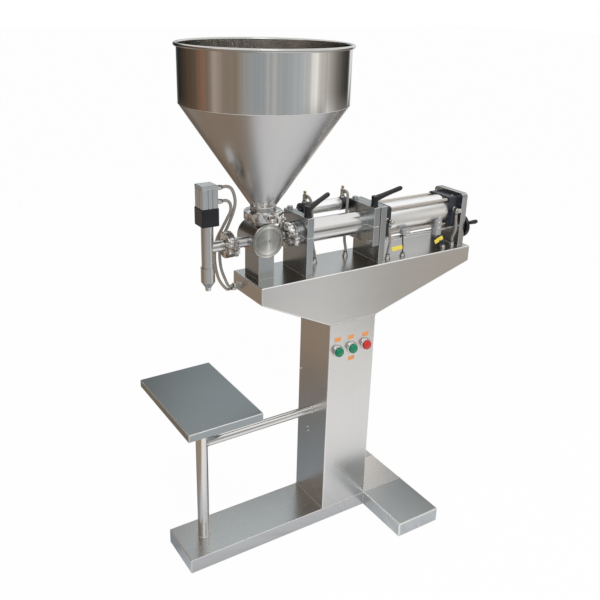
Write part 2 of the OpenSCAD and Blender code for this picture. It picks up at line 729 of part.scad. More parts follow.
// Drive cylinder: a tube between two square caps, held by four tie rods
tie_y = 36;
module drive_barrel() {
  color("white") difference() {
    x_rod(tube_x0, tube_x1, drive_r);
    x_rod(tube_x0 - cut, tube_x1 + cut, drive_r - drive_t);
  }
}
module square_cap(x0, x1) {
  c = drive_cap / 2;
  r = 8;
  slab([x0, -c + r, axis_z - c], [x1, c - r, axis_z + c]);
  slab([x0, -c, axis_z - c + r], [x1, c, axis_z + c - r]);
  for (s = [-1, 1], t = [-1, 1]) x_rod(x0, x1, r, s * (c - r), axis_z + t * (c - r));
}
module drive_caps() {
  color("midnightblue") {
    difference() {
      square_cap(drive_x0, tube_x0);
      x_rod(drive_x0 - cut, tube_x0 + cut, rod_r + run_fit);
    }
    square_cap(tube_x1, drive_x1);
  }
}
module tie_rods() {
  color("silver") for (s = [-1, 1], t = [-1, 1]) x_rod(tube_x0, tube_x1, tie_r, s * tie_y, axis_z + t * tie_y);
}
module drive_piston() {
  color("gray") x_rod(drive_piston_x, drive_piston_x + drive_piston_t, drive_r - drive_t - seat_gap);
}

// Stroke adjustment: a screw that the handwheel turns and a carriage with the rear sensor
wheel_gap = 2;
wheel_t = 12;
grip_dy = -28;
grip_dz = 14;
module stroke_screw() {
  color("gray") x_rod(mount_plate_x + plate_t - 9, end_plate_x + plate_t + wheel_gap, screw_r, -screw_y, screw_z);
}
module handwheel() {
  color("black") translate([end_plate_x + plate_t + wheel_gap, -screw_y, screw_z]) rotate([0, 90, 0]) difference() {
    rotate_extrude() polygon([[0, 0], [12, 0], [12, 3], [wheel_r - 9, 3], [wheel_r - 6, 0], [wheel_r - 2, 0],
      [wheel_r, 2], [wheel_r, wheel_t - 2], [wheel_r - 2, wheel_t], [wheel_r - 8, wheel_t], [wheel_r - 11, 7], [12, 7], [12, wheel_t + 3], [0, wheel_t + 3]]);
    translate([-grip_dz, grip_dy, 5]) cylinder(h = wheel_t, r = 3 + run_fit);
  }
}
grip_x = end_plate_x + plate_t + wheel_gap + wheel_t + 0.5;
module wheel_grip() {
  color("black") translate([grip_x, -screw_y + grip_dy, screw_z + grip_dz]) rotate([0, 90, 0]) {
    rotate_extrude() polygon([[0, 0], [4.5, 0], [5.5, 4], [6.5, 22], [5.5, 29], [3, 32], [0, 32]]);
    translate([0, 0, -7]) cylinder(h = 8, r = 3);
  }
}
carriage_x = 305;
carriage_len = 20;
tie_low = axis_z - tie_y;
module sensor_carriage() {
  color("dimgray") difference() {
    union() {
      slab([carriage_x, -screw_y - 16, screw_z - 12], [carriage_x + carriage_len, -screw_y + 6, tie_low - 2]);
      slab([carriage_x, -screw_y - 16, screw_z], [carriage_x + carriage_len, -screw_y - 6, tie_low + 20]);
    }
    x_rod(carriage_x - cut, carriage_x + carriage_len + cut, screw_r + seat_gap, -screw_y, screw_z);
    x_rod(carriage_x - cut, carriage_x + carriage_len + cut, tie_r + seat_gap, -tie_y, tie_low);
  }
}
sensor_x = 180;
module front_sensor() {
  color("dimgray") difference() {
    slab([sensor_x, -tie_y - 14, tie_low - 8], [sensor_x + 26, -tie_y + 2, tie_low + 8]);
    x_rod(sensor_x - cut, sensor_x + 27, tie_r + seat_gap, -tie_y, tie_low);
    x_rod(sensor_x - cut, sensor_x + 27, drive_r + seat_gap);
  }
}

// Filling nozzle: an air cylinder lifts a stem off the seat in the tip
adapter_z0 = 981;
actuator_z0 = 1027;
actuator_z1 = 1084;
sleeve_z = 871;
sleeve_r = 18;
seat_z = 829;
nozzle_bore = 12.5;
stem_rod_r = 5;
stem_piston_r = 16;
stem_top = 1040;
stem_piston_t = 12;
seat_bore = 5;
seat_rise = 10;     // height of the seat's cone between its bore and the nozzle's bore
module nozzle_actuator() {
  a = nozzle_act / 2;
  color("silver") difference() {
    slab([-nozzle_x - a, -a, actuator_z0], [-nozzle_x + a, a, actuator_z1]);
    z_rod(actuator_z0 - cut, stem_top + stem_piston_t + stem_lift + 4, stem_piston_r, -nozzle_x);
  }
}
module nozzle_adapter() {
  a = nozzle_act / 2 + 1;
  color("black") difference() {
    slab([-nozzle_x - a, -a, adapter_z0], [-nozzle_x + a, a, actuator_z0]);
    z_rod(adapter_z0 - cut, actuator_z0 + cut, stem_rod_r + run_fit, -nozzle_x);
  }
}
module nozzle_tube() {
  inlet_x0 = -nozzle_x;
  color("silver") difference() {
    union() {
      z_rod(sleeve_z, adapter_z0, nozzle_r, -nozzle_x);
      translate([nozzle_joint_x - gasket_t / 2, 0, axis_z]) rotate([0, -90, 0])
        ferrule_ring(small_ferrule, port_r, 0, nozzle_joint_x - gasket_t / 2 - inlet_x0);
    }
    z_rod(sleeve_z - cut, adapter_z0 - 8, nozzle_bore, -nozzle_x);
    z_rod(sleeve_z, adapter_z0 + cut, stem_rod_r + seat_gap, -nozzle_x);
    x_rod(inlet_x0, nozzle_joint_x, port_bore);
  }
}
module nozzle_tip() {
  color("silver") translate([-nozzle_x, 0, 0]) rotate_extrude() polygon([
    [seat_bore, nozzle_tip_z], [7, nozzle_tip_z], [8, seat_z - 12], [sleeve_r - 2, seat_z], [sleeve_r, seat_z + 3],
    [sleeve_r, sleeve_z - 4], [sleeve_r + 0.8, sleeve_z - 3], [sleeve_r + 0.8, sleeve_z], [nozzle_bore, sleeve_z],
    [nozzle_bore, seat_z - 4 + seat_rise], [seat_bore, seat_z - 4]]);
}
function seat_height(r) = seat_z - 3.5 + (r - seat_bore) * seat_rise / (nozzle_bore - seat_bore);
module nozzle_stem() {
  color("lightgray") translate([-nozzle_x, 0, 0]) rotate_extrude() polygon([
    [0, seat_height(3)], [3, seat_height(3)], [9, seat_height(9)], [9, seat_z + 10], [stem_rod_r, seat_z + 14],
    [stem_rod_r, stem_top], [stem_piston_r - run_fit, stem_top],
    [stem_piston_r - run_fit, stem_top + stem_piston_t], [0, stem_top + stem_piston_t]]);
}

// Push-in fittings: a hexagon, a body and a release ring, standing on its seat along +Z
module fitting(len) {
  cylinder(h = 5, r = 8, $fn = 6);
  cylinder(h = len - 3, r = 6.4);
  cylinder(h = len, r = 5);
}
// Angle fitting: the hose leaves sideways along +X at height len
module elbow(len, out) {
  cylinder(h = 5, r = 8, $fn = 6);
  cylinder(h = len + 5.5, r = 6);
  translate([0, 0, len]) rotate([0, 90, 0]) cylinder(h = out, r = 5.5);
}
deck_hoses = [[-72, 25], [37, 29], [130, -48], [378, -48]];
deck_glands = [[183, -50], [340, -50]];
end_fittings = [[56, 783], [66, 771]];
nozzle_ports = [1072, 1037];
fit_len = 16;
elbow_h = 20;
elbow_out = 14;
nozzle_side = -nozzle_x + nozzle_act / 2;
drive_port_x = [drive_x0 + 14, drive_x1 - 18];
drive_port_z = axis_z + 8;
actuator_port_x = [barrel_x0 - 15, barrel_x1 + 11];
port_sink = 1.2;    // how far a fitting's base reaches into a round cap
module air_fittings() {
  color("gainsboro") {
    for (p = deck_hoses) translate([p[0], p[1], deck_z]) fitting(fit_len);
    for (p = deck_glands) translate([p[0], p[1], deck_z]) fitting(fit_len - 4);
    for (p = end_fittings) translate([-beam_front, p[0], p[1]]) rotate([0, -90, 0]) fitting(fit_len);
    for (z = nozzle_ports) translate([nozzle_side, 0, z]) rotate([0, 90, 0]) fitting(fit_len + 4);
    for (x = drive_port_x) translate([x, -drive_cap / 2, drive_port_z]) rotate([90, 0, 0]) rotate([0, 0, -90]) elbow(elbow_h - 6, elbow_out);
    for (x = actuator_port_x) difference() {
      translate([x, actuator_y, actuator_z + actuator_r]) rotate([0, 0, -90]) elbow(elbow_h, elbow_out);
      x_rod(x - 20, x + 20, actuator_r + 1 + seat_gap / 3, actuator_y, actuator_z);
    }
  }
}

// Air hoses and sensor cables: round tubes swept along smooth routes
hose_sides = 8;
route_steps = 4;    // rings in each span between two route points
function blend(a, b, c, d, t) = 0.5 * (2 * b + (c - a) * t + (2 * a - 5 * b + 4 * c - d) * t * t
  + (3 * b - a - 3 * c + d) * t * t * t);
function route(p) = let (n = len(p) - 1) concat([for (i = [0 : n - 1], k = [0 : route_steps - 1])
  blend(p[max(i - 1, 0)], p[i], p[i + 1], p[min(i + 2, n)], k / route_steps)], [p[n]]);
function heading(p, i) = let (d = p[min(i + 1, len(p) - 1)] - p[max(i - 1, 0)]) d / norm(d);
// At both ends a hose stands square to its fitting, along the first and the last two route points
function square_heading(points, p, i) = i == 0 ? heading(points, 0)
  : i == len(p) - 1 ? heading(points, len(points) - 1) : heading(p, i);
module hose(points, r, side) {
  p = route(points);
  n = len(p);
  rings = [for (i = [0 : n - 1]) let (t = square_heading(points, p, i), u = cross(t, side) / norm(cross(t, side)), v = cross(t, u))
    for (k = [0 : hose_sides - 1]) p[i] + r * (u * cos(k * 360 / hose_sides) + v * sin(k * 360 / hose_sides))];
  walls = [for (i = [0 : n - 2], k = [0 : hose_sides - 1]) let (a = i * hose_sides + k,
    b = i * hose_sides + (k + 1) % hose_sides) each [[a, a + hose_sides, b], [b, a + hose_sides, b + hose_sides]]];
  polyhedron(points = rings, faces = concat(walls, [[for (k = [0 : hose_sides - 1]) k]],
    [[for (k = [hose_sides - 1 : -1 : 0]) (n - 1) * hose_sides + k]]));
}
nozzle_hose_x = nozzle_side + fit_len + 4;
upper_route = [[nozzle_hose_x, 0, 1072], [-356, 0, 1072], [-345, 0, 1066], [-337, 2, 1053], [-331, 5, 1032], [-331, 10, 1010],
  [-334, 20, 985], [-338, 34, 957], [-345, 47, 925], [-351, 53, 890], [-350, 56, 861], [-345, 57, 832],
  [-334, 57, 802], [-325, 56, 783], [-beam_front - fit_len, 56, 783]];
lower_route = [[nozzle_hose_x, 0, 1037], [-360, 0, 1037], [-352, 1, 1033], [-345, 4, 1024], [-341, 10, 1006],
  [-344, 24, 982], [-349, 40, 955], [-357, 56, 922], [-361, 62, 888], [-360, 66, 858], [-355, 67, 826],
  [-345, 67, 796], [-326, 66, 771], [-beam_front - fit_len, 66, 771]];
actuator_hose_y = actuator_y - elbow_out;
actuator_hose_z = actuator_z + actuator_r + elbow_h;
front_hose = [[actuator_port_x[0], actuator_hose_y, actuator_hose_z], [actuator_port_x[0], 54, actuator_hose_z], [-75, 46, 984], [-72, 43, 940],
  [-71, 43, 895], [-72, 34, 862], [-72, 25, deck_z + fit_len + 10], [-72, 25, deck_z + fit_len]];
rear_hose = [[actuator_port_x[1], actuator_hose_y, actuator_hose_z], [actuator_port_x[1], 54, actuator_hose_z], [49, 46, 984], [45, 43, 940],
  [42, 43, 895], [38, 37, 862], [37, 29, deck_z + fit_len + 10], [37, 29, deck_z + fit_len]];
drive_hose_y = -drive_cap / 2 - elbow_h + 6;
drive_hose_z = drive_port_z - elbow_out;
front_drive_hose = [[drive_port_x[0], drive_hose_y, drive_hose_z], [drive_port_x[0], drive_hose_y, drive_hose_z - 10], [125, -60, 870],
  [130, -48, deck_z + fit_len + 10], [130, -48, deck_z + fit_len]];
rear_drive_hose = [[drive_port_x[1], drive_hose_y, drive_hose_z], [drive_port_x[1], drive_hose_y, drive_hose_z - 10], [375, -60, 870],
  [378, -48, deck_z + fit_len + 10], [378, -48, deck_z + fit_len]];
front_cable = [[sensor_x + 4, -tie_y - 9, tie_low - 8], [sensor_x + 4, -tie_y - 9, 866], [183, -49, 850],
  [183, -50, deck_z + fit_len + 6], [183, -50, deck_z + fit_len - 4]];
rear_cable = [[carriage_x + 12, -screw_y - 12, screw_z - 12 - seat_gap], [carriage_x + 12, -screw_y - 12, 848],
  [326, -54, 838], [340, -50, deck_z + fit_len + 6], [340, -50, deck_z + fit_len - 4]];
module air_hoses() {
  color("dimgray") {
    hose(upper_route, hose_r, [0, 1, 0]);
    hose(lower_route, hose_r, [0, 1, 0]);
    for (p = [front_hose, rear_hose, front_drive_hose, rear_drive_hose]) hose(p, hose_r, [1, 0, 0]);
    hose(front_cable, cable_r, [1, 0, 0]);
    hose(rear_cable, cable_r, [0, 1, 0]);
  }
}

main_foot();
side_feet();
column();
rear_cover();
cover_screws();
beam();
tray_post();
tray();
tray_bar();
solenoid_bank();
button_bezels();
start_button();
cycle_button();
stop_button();
contact_blocks();
hopper();
hopper_cone();
clamp_gaskets();
hopper_clamp();
port_clamps();
hopper_wing_nut();
nozzle_wing_nut();
cylinder_wing_nut();
valve_body();
valve_cover();
valve_plug();
valve_crank();
valve_support();
actuator_barrel();
actuator_caps();
actuator_rod();
actuator_bracket();
air_fittings();
front_plate();
clamp_plate();
plate_caps();
mount_plate();
end_plate();
plate_bolts();
front_lever();
rear_lever();
filling_cylinder();
filling_piston();
piston_seals();
piston_rod();
drive_barrel();
drive_caps();
tie_rods();
drive_piston();
stroke_screw();
handwheel();
wheel_grip();
sensor_carriage();
front_sensor();
nozzle_actuator();
nozzle_adapter();
nozzle_tube();
nozzle_tip();
nozzle_stem();
air_hoses();
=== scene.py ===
import math

import bmesh
import bpy
from mathutils import Matrix, Vector


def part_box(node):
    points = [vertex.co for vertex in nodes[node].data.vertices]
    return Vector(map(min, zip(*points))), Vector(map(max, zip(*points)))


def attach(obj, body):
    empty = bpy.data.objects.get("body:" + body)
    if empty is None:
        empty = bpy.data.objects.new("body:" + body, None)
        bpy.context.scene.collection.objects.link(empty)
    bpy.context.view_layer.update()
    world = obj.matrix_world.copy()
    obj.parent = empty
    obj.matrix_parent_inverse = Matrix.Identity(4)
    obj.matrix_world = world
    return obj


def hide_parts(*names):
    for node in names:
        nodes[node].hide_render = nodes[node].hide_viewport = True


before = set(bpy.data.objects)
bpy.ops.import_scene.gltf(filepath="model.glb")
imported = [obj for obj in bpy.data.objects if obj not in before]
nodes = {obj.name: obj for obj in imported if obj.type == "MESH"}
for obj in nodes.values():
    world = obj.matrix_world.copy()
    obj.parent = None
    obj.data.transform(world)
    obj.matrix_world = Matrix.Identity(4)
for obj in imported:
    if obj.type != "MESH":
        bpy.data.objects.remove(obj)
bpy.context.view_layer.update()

mm = 0.001

# Camera: it stands in front of the machine and to its left, a little above the deck, and looks down
# on the foot. Its axes were solved from the straight edges of the column, the beam and the feet.
camera_place = Vector((-1.1604, -1.5660, 1.5183))
camera_right = Vector((0.85107, -0.52468, 0.01945))
camera_up = Vector((0.17407, 0.31691, 0.93236))
lens = bpy.data.cameras.new("camera")
lens.lens = 43.98
lens.shift_x = 0.0227
lens.shift_y = -0.0396
scene = bpy.context.scene
camera = bpy.data.objects.new("camera", lens)
turn = Matrix((camera_right, camera_up, camera_right.cross(camera_up))).transposed()
camera.matrix_world = Matrix.Translation(camera_place) @ turn.to_4x4()
scene.collection.objects.link(camera)
scene.camera = camera


# Finishes: every surface is a Principled shader whose colour, roughness and bump come from patterns
# on the piece's own coordinates, so the grain stays on the steel when a part moves.
class Value:
    """An output of a pattern's nodes: arithmetic on it adds the maths to the pattern."""

    def __init__(self, pattern, socket):
        self.pattern = pattern
        self.socket = socket

    def maths(self, operation, first, second):
        return self.pattern.node("ShaderNodeMath", {"operation": operation}, {0: first, 1: second})

    def __add__(self, other):
        return self.maths("ADD", self, other)

    def __sub__(self, other):
        return self.maths("SUBTRACT", self, other)

    def __rsub__(self, other):
        return self.maths("SUBTRACT", other, self)

    def __mul__(self, other):
        return self.maths("MULTIPLY", self, other)

    def __truediv__(self, other):
        return self.maths("DIVIDE", self, other)

    def __pow__(self, other):
        return self.maths("POWER", self, other)

    def __gt__(self, other):
        return self.maths("GREATER_THAN", self, other)


class Pattern:
    """A node tree whose nodes are each made, set and linked in one call."""

    def __init__(self, tree):
        self.tree = tree

    def give(self, node, key, value):
        if isinstance(value, Value):
            self.tree.links.new(value.socket, node.inputs[key])
        elif node.inputs[key].type == "RGBA" and len(value) == 3:
            node.inputs[key].default_value = (*value, 1)
        else:
            node.inputs[key].default_value = value

    def node(self, kind, settings=None, inputs=None, output=0):
        made = self.tree.nodes.new(kind)
        for key, value in (settings or {}).items():
            if key == "stops":
                ramp = made.color_ramp
                while len(ramp.elements) < len(value):
                    ramp.elements.new(1)
                for stop, (place, colour) in zip(ramp.elements, value):
                    stop.position = place
                    stop.color = (*colour, 1)
            else:
                setattr(made, key, value)
        for key, value in (inputs or {}).items():
            self.give(made, key, value)
        return Value(self, made.outputs[output])

    def rays(self):
        """Whether the camera, a mirror or glass looks on, as three values of 0 or 1."""
        seen = self.tree.nodes.new("ShaderNodeLightPath").outputs
        return [Value(self, seen[f"Is {kind} Ray"]) for kind in ("Camera", "Glossy", "Transmission")]


class Finish(Pattern):
    """A material: its fixed values are set on the shader, and its patterns are linked to it."""

    def __init__(self, name, **fixed):
        self.material = bpy.data.materials.new(name)
        self.material.use_nodes = True
        super().__init__(self.material.node_tree)
        self.shader = self.tree.nodes["Principled BSDF"]
        for key, value in fixed.items():
            self.give(self.shader, key.replace("_", " ").title(), value)

    def place(self, stretch=(1, 1, 1)):
        """Coordinates in metres on the piece, with the pattern squeezed by stretch along X, Y and Z."""
        here = self.node("ShaderNodeTexCoord", output="Object")
        return self.node("ShaderNodeMapping", None, {"Vector": here, "Scale": stretch})

    def noise(self, stretch, detail=2.0, roughness=0.5):
        return self.node("ShaderNodeTexNoise", None, {
            "Vector": self.place(stretch), "Scale": 1.0, "Detail": detail, "Roughness": roughness})

    def blend(self, share, first, second):
        """A colour between two. The Mix node's colours are its sockets 6 and 7, and its output 2."""
        return self.node("ShaderNodeMix", {"data_type": "RGBA"}, {0: share, 6: first, 7: second}, 2)

    def colour(self, value):
        self.give(self.shader, "Base Color", value)

    def rough(self, value):
        self.give(self.shader, "Roughness", value)

    def bump(self, height, depth, strength=1.0):
        self.give(self.shader, "Normal", self.node("ShaderNodeBump", None, {
            "Strength": strength, "Distance": depth, "Height": height}))

    def surface(self, value):
        self.give(self.tree.nodes["Material Output"], "Surface", value)


def steel(name, tone, grain, rough, soft=0.1, scratch=0.0003, wave=0.0, cloud=3.0):
    """Stainless steel: tone is its colour, and grain the pattern's squeeze, small along the brushing. Soft
    is how far its gloss varies, scratch and wave the depths in metres of the brushing and of the hand
    polishing, and cloud the number of patches to the metre."""
    finish = Finish(name, metallic=1.0)
    lines = finish.noise(grain, 3.0, 0.6)
    clouds = finish.noise((cloud, cloud, cloud), 3.0, 0.55)
    stain = (0.02, 0.025, 0.03)
    warmth = (0.03, 0.02, 0.0)
    darker = [part * 0.80 - shift for part, shift in zip(tone, stain)]
    lighter = [part + shift for part, shift in zip(tone, warmth)]
    cloudy = finish.blend(clouds, darker, lighter)
    streaky = finish.blend(lines * 0.5 + 0.1, cloudy, [part * 1.04 for part in tone])
    finish.colour(streaky)
    finish.rough(lines * soft + clouds * soft * 0.6 + (rough - soft * 0.8))
    if wave:
        dents = finish.noise((9, 9, 5), 1.0)
        finish.bump(dents + lines * (scratch / wave), wave, 0.5)
    else:
        finish.bump(lines, scratch, 0.35)
    return finish.material


def plastic(name, dark, light, rough):
    """Moulded plastic or paint: faint patches of tone, with the fine pebble that the mould leaves."""
    finish = Finish(name, coat_weight=0.1)
    pebble = finish.noise((900, 900, 900))
    patches = finish.noise((25, 25, 25), 3.0)
    finish.colour(finish.blend(patches, dark, light))
    finish.rough(patches * 0.15 + (rough - 0.07))
    finish.bump(pebble, 0.08 * mm, 0.6)
    return finish.material


def show(piece, material, body="frame", stands_for=()):
    """Puts a finished piece in the scene, on its body and in its material."""
    if piece.name not in scene.collection.objects:
        scene.collection.objects.link(piece)
    piece.data.materials.clear()
    piece.data.materials.append(material)
    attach(piece, body)
    if stands_for:
        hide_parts(*stands_for)
    return piece


def dress(name, material):
    """Gives a CAD piece that keeps its own mesh its finish."""
    piece = nodes[name]
    piece.data.materials.clear()
    piece.data.materials.append(material)


fold_angle = 35


def rounded(piece, width, corner=fold_angle):
    """Rounds a piece's edges by width, as folding, milling or moulding leaves them. An edge is rounded
    where its faces turn by more than corner, in degrees."""
    edges = piece.modifiers.new("edges", "BEVEL")
    edges.width = width
    edges.segments = 3
    edges.angle_limit = math.radians(corner)
    edges.use_clamp_overlap = False
    edges.harden_normals = True
    return edges


def smoothed(mesh, corner=fold_angle):
    """Shades a mesh smoothly, but for edges whose faces turn by more than corner, in degrees."""
    mesh.polygons.foreach_set("use_smooth", [True] * len(mesh.polygons))
    mesh.set_sharp_from_angle(angle=math.radians(corner))
    return mesh


def corners(name):
    """The lowest and the highest corner of a CAD piece, in millimetres."""
    return [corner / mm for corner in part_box(name)]


def centre(name):
    """The middle of a CAD piece's box, in millimetres."""
    low, high = corners(name)
    return (low + high) / 2


# Painted highlight: a near-white steel for the rounded edges of folds and for a few small screw heads, so
# that they show as bright lines and dots.
fold_steel = steel("fold_steel", (0.95, 0.95, 0.95), (60, 60, 60), 0.34, soft=0.04)


def breadth(face):
    """The mean width of a long face."""
    return 2 * face.calc_area() / face.calc_perimeter()


def eased(name, width, material, body="frame", edge=None):
    """A copy of a CAD piece whose outer folds are rounded. Where edge is given, the rounded folds take that
    material, a brighter steel as a painted highlight.
    Rims of thin sheet and small holes, whose faces are too narrow to be rounded, are left crisp."""
    mesh = nodes[name].data.copy()
    shape = bmesh.new()
    shape.from_mesh(mesh)
    bmesh.ops.remove_doubles(shape, verts=shape.verts, dist=0.01 * mm)
    bmesh.ops.dissolve_limit(shape, angle_limit=math.radians(0.5), verts=shape.verts, edges=shape.edges)
    narrow = 2.2 * width
    weight = shape.edges.layers.float.new("bevel_weight_edge")
    for fold in shape.edges:
        if fold.is_convex and fold.calc_face_angle(0) > math.radians(fold_angle):
            fold[weight] = float(min(breadth(face) for face in fold.link_faces) > narrow)
    shape.to_mesh(mesh)
    shape.free()
    piece = show(bpy.data.objects.new(name + "_piece", smoothed(mesh)), material, body, [name])
    edges = rounded(piece, width)
    edges.limit_method = "WEIGHT"
    if edge:
        mesh.materials.append(edge)
        edges.material = 1


# Air hoses and sensor cables: polyurethane hoses of 8 mm from the deck and the beam's end to the air
# cylinders, and two 4 mm cables to the sensors. Every end sits in a fitting or a sensor.
beam_low, beam_high = corners("beam")
deck_z = beam_high.z
beam_end = beam_low.x
fitting_h = 16
gland_h = 12
nozzle_fitting_h = 20
nozzle_port = corners("nozzle_actuator")[1].x + nozzle_fitting_h
hose_d = 8 * mm
cable_d = 4 * mm


def smooth_route(points, steps=8):
    """Points along the smooth curve through the given points."""
    ends = [points[0], *points, points[-1]]
    line = []
    for before, here, there, after in zip(ends, ends[1:], ends[2:], ends[3:]):
        for step in range(steps):
            t = step / steps
            line.append(0.5 * (2 * here + (there - before) * t
                               + (2 * before - 5 * here + 4 * there - after) * t * t
                               + (3 * here - before - 3 * there + after) * t ** 3))
    return line + [points[-1]]


def air_line(name, points, diameter, material):
    line = smooth_route([Vector(p) * mm for p in points])
    curve = bpy.data.curves.new(name, "CURVE")
    curve.dimensions = "3D"
    curve.bevel_depth = diameter / 2
    curve.bevel_resolution = 5
    curve.use_fill_caps = True
    spline = curve.splines.new("POLY")
    spline.points.add(len(line) - 1)
    for spot, point in zip(spline.points, line):
        spot.co = (*point, 1)
    piece = show(bpy.data.objects.new(name, curve), material, "frame", ["air_hoses"])
    length = sum((b - a).length for a, b in zip(line, line[1:]))


hose_finish = Finish("hose", roughness=0.28, coat_weight=0.4)
hose_dust = hose_finish.noise((60, 60, 60), 3.0)
hose_finish.colour(hose_finish.blend(hose_dust, (0.26, 0.235, 0.205), (0.37, 0.34, 0.30)))
hose_finish.bump(hose_finish.noise((300, 300, 300)), 0.05 * mm)
cable_finish = Finish("cable", roughness=0.5)
cable_dust = cable_finish.noise((90, 90, 90))
cable_finish.colour(cable_finish.blend(cable_dust, (0.025, 0.025, 0.028), (0.06, 0.06, 0.065)))

barrel_y = 61
barrel_z = 996.2
drive_y = -59
drive_z = 916
hose_foot = deck_z + fitting_h
gland_top = deck_z + gland_h
hose_end = beam_end - fitting_h
lead = 10
hose_routes = {
    "upper_nozzle_hose": [
        (nozzle_port, 0, 1072), (-356, 0, 1072), (-345, 0, 1066), (-337, 2, 1053), (-331, 5, 1032),
        (-331, 10, 1010), (-334, 20, 985), (-338, 34, 957), (-345, 47, 925), (-351, 53, 890),
        (-350, 56, 861), (-345, 57, 832), (-334, 57, 802), (-325, 56, 783), (hose_end, 56, 783)],
    "lower_nozzle_hose": [
        (nozzle_port, 0, 1037), (-360, 0, 1037), (-352, 1, 1033), (-345, 4, 1024), (-341, 10, 1006),
        (-344, 24, 982), (-349, 40, 955), (-357, 56, 922), (-361, 62, 888), (-360, 66, 858),
        (-355, 67, 826), (-345, 67, 796), (-326, 66, 771), (hose_end, 66, 771)],
    "front_valve_hose": [
        (-77, barrel_y, barrel_z), (-77, 54, barrel_z), (-75, 46, 984), (-72, 43, 940), (-71, 43, 895),
        (-72, 34, 862), (-72, 25, hose_foot + lead), (-72, 25, hose_foot)],
    "rear_valve_hose": [
        (51, barrel_y, barrel_z), (51, 54, barrel_z), (49, 46, 984), (45, 43, 940), (42, 43, 895),
        (38, 37, 862), (37, 29, hose_foot + lead), (37, 29, hose_foot)],
    "front_drive_hose": [
        (121, drive_y, drive_z), (121, drive_y, drive_z - lead), (125, -60, 870),
        (130, -48, hose_foot + lead), (130, -48, hose_foot)],
    "rear_drive_hose": [
        (373, drive_y, drive_z), (373, drive_y, drive_z - lead), (375, -60, 870),
        (378, -48, hose_foot + lead), (378, -48, hose_foot)],
}
for name, points in hose_routes.items():
    air_line(name, points, hose_d, hose_finish.material)
cable_routes = {
    "front_sensor_cable": [
        (184, -45, 878), (184, -45, 866), (183, -49, 850), (183, -50, gland_top + lead),
        (183, -50, gland_top)],
    "rear_sensor_cable": [
        (317, -48, 857.7), (317, -48, 848), (326, -54, 838), (340, -50, gland_top + lead),
        (340, -50, gland_top)],
}
for name, points in cable_routes.items():
    air_line(name, points, cable_d, cable_finish.material)

# Studio: a pale floor under a white sky, two soft lamps, and a ring of tinted cards that only the
# polished metal mirrors, as a photographer stands them round a stainless machine.
scene.view_settings.view_transform = "Standard"
world = bpy.data.worlds.new("studio")
world.use_nodes = True
scene.world = world
sky = Pattern(world.node_tree)
from_camera, from_gloss, from_glass = sky.rays()
from_metal = from_gloss.maths("MAXIMUM", from_gloss, from_glass)
direct = from_camera.maths("MAXIMUM", from_camera, from_metal)
sky_light = 0.62
white = 1.0
level = sky.node("ShaderNodeMapRange", None, {"Value": direct, "To Min": sky_light, "To Max": white})
background = world.node_tree.nodes["Background"]
sky.give(background, "Color", (white, white, white))
sky.give(background, "Strength", level)


def rectangle(low, high, z):
    """The corners at height z of the box between two points."""
    return [(low[0], low[1], z), (high[0], low[1], z), (high[0], high[1], z), (low[0], high[1], z)]


floor_reach = 30.0
floor_mesh = bpy.data.meshes.new("floor")
floor_mesh.from_pydata(rectangle((-floor_reach, -floor_reach), (floor_reach, floor_reach), 0), [],
                       [(0, 1, 2, 3)])
floor = bpy.data.objects.new("floor", floor_mesh)
scene.collection.objects.link(floor)
floor_finish = Finish("floor", base_color=(0.86, 0.86, 0.86), roughness=0.9)
from_camera, from_gloss, from_glass = floor_finish.rays()
floor_glow = 0.97
glow = floor_finish.node("ShaderNodeEmission", None, {"Color": (1, 1, 1), "Strength": white})
lit = Value(floor_finish, floor_finish.shader.outputs[0])
floor_finish.surface(floor_finish.node("ShaderNodeMixShader", None, {
    0: (from_camera + from_gloss + from_glass) * floor_glow, 1: lit, 2: glow}))
floor_mesh.materials.append(floor_finish.material)

lamp_size = 1.6
lamp_aim = Vector((0, 0, 0.8))


def lamp(name, place, power):
    """A round soft lamp that looks at the middle of the machine."""
    light = bpy.data.lights.new(name, "AREA")
    light.shape = "DISK"
    light.size = lamp_size
    light.energy = power
    piece = bpy.data.objects.new(name, light)
    piece.location = place
    piece.rotation_mode = "QUATERNION"
    piece.rotation_quaternion = (lamp_aim - Vector(place)).to_track_quat("-Z", "Y")
    scene.collection.objects.link(piece)


lamp("key_lamp", (-1.2, -2.0, 3.2), 38)
lamp("fill_lamp", (2.2, -1.2, 2.2), 16)


def bearings(count, start=0.0):
    """The bearings of points that stand evenly round a circle."""
    return [2 * math.pi * (k + start) / count for k in range(count)]


ring_reach = 1.35
ring_top = 2.7
ring_sides = 96
card_floor = 0.6 * mm
ring_mesh = bpy.data.meshes.new("cards")
shape = bmesh.new()
rims = [[shape.verts.new((ring_reach * math.cos(a), ring_reach * math.sin(a), z))
         for a in bearings(ring_sides)] for z in (card_floor, ring_top)]
for k in range(ring_sides):
    after = (k + 1) % ring_sides
    shape.faces.new((rims[0][after], rims[0][k], rims[1][k], rims[1][after]))
shape.faces.new(rims[0])
shape.to_mesh(ring_mesh)
shape.free()
ring = bpy.data.objects.new("cards", ring_mesh)
scene.collection.objects.link(ring)
ring.visible_camera = False
ring.visible_diffuse = False
ring.visible_shadow = False
ring.visible_transmission = False
card = Finish("card")
spot = card.node("ShaderNodeSeparateXYZ", None, {0: card.place()})
spot_y = Value(card, spot.socket.node.outputs["Y"])
height = Value(card, spot.socket.node.outputs["Z"])
around = card.node("ShaderNodeMath", {"operation": "ARCTAN2"}, {0: spot_y, 1: spot}) / (2 * math.pi) + 0.5


def card_ramp(share, low, high, tones):
    """A smooth run of card colours, each a place between low and high, then red, green and blue."""
    return card.node("ShaderNodeValToRGB", {"stops": [
        ((place - low) / (high - low), colour) for place, *colour in tones]}, {0: share})


def card_row(tones):
    """Cards all round the machine. A card's place is its bearing: -90 in front, 0 at the handwheel."""
    return card_ramp(around, -180, 180, tones)


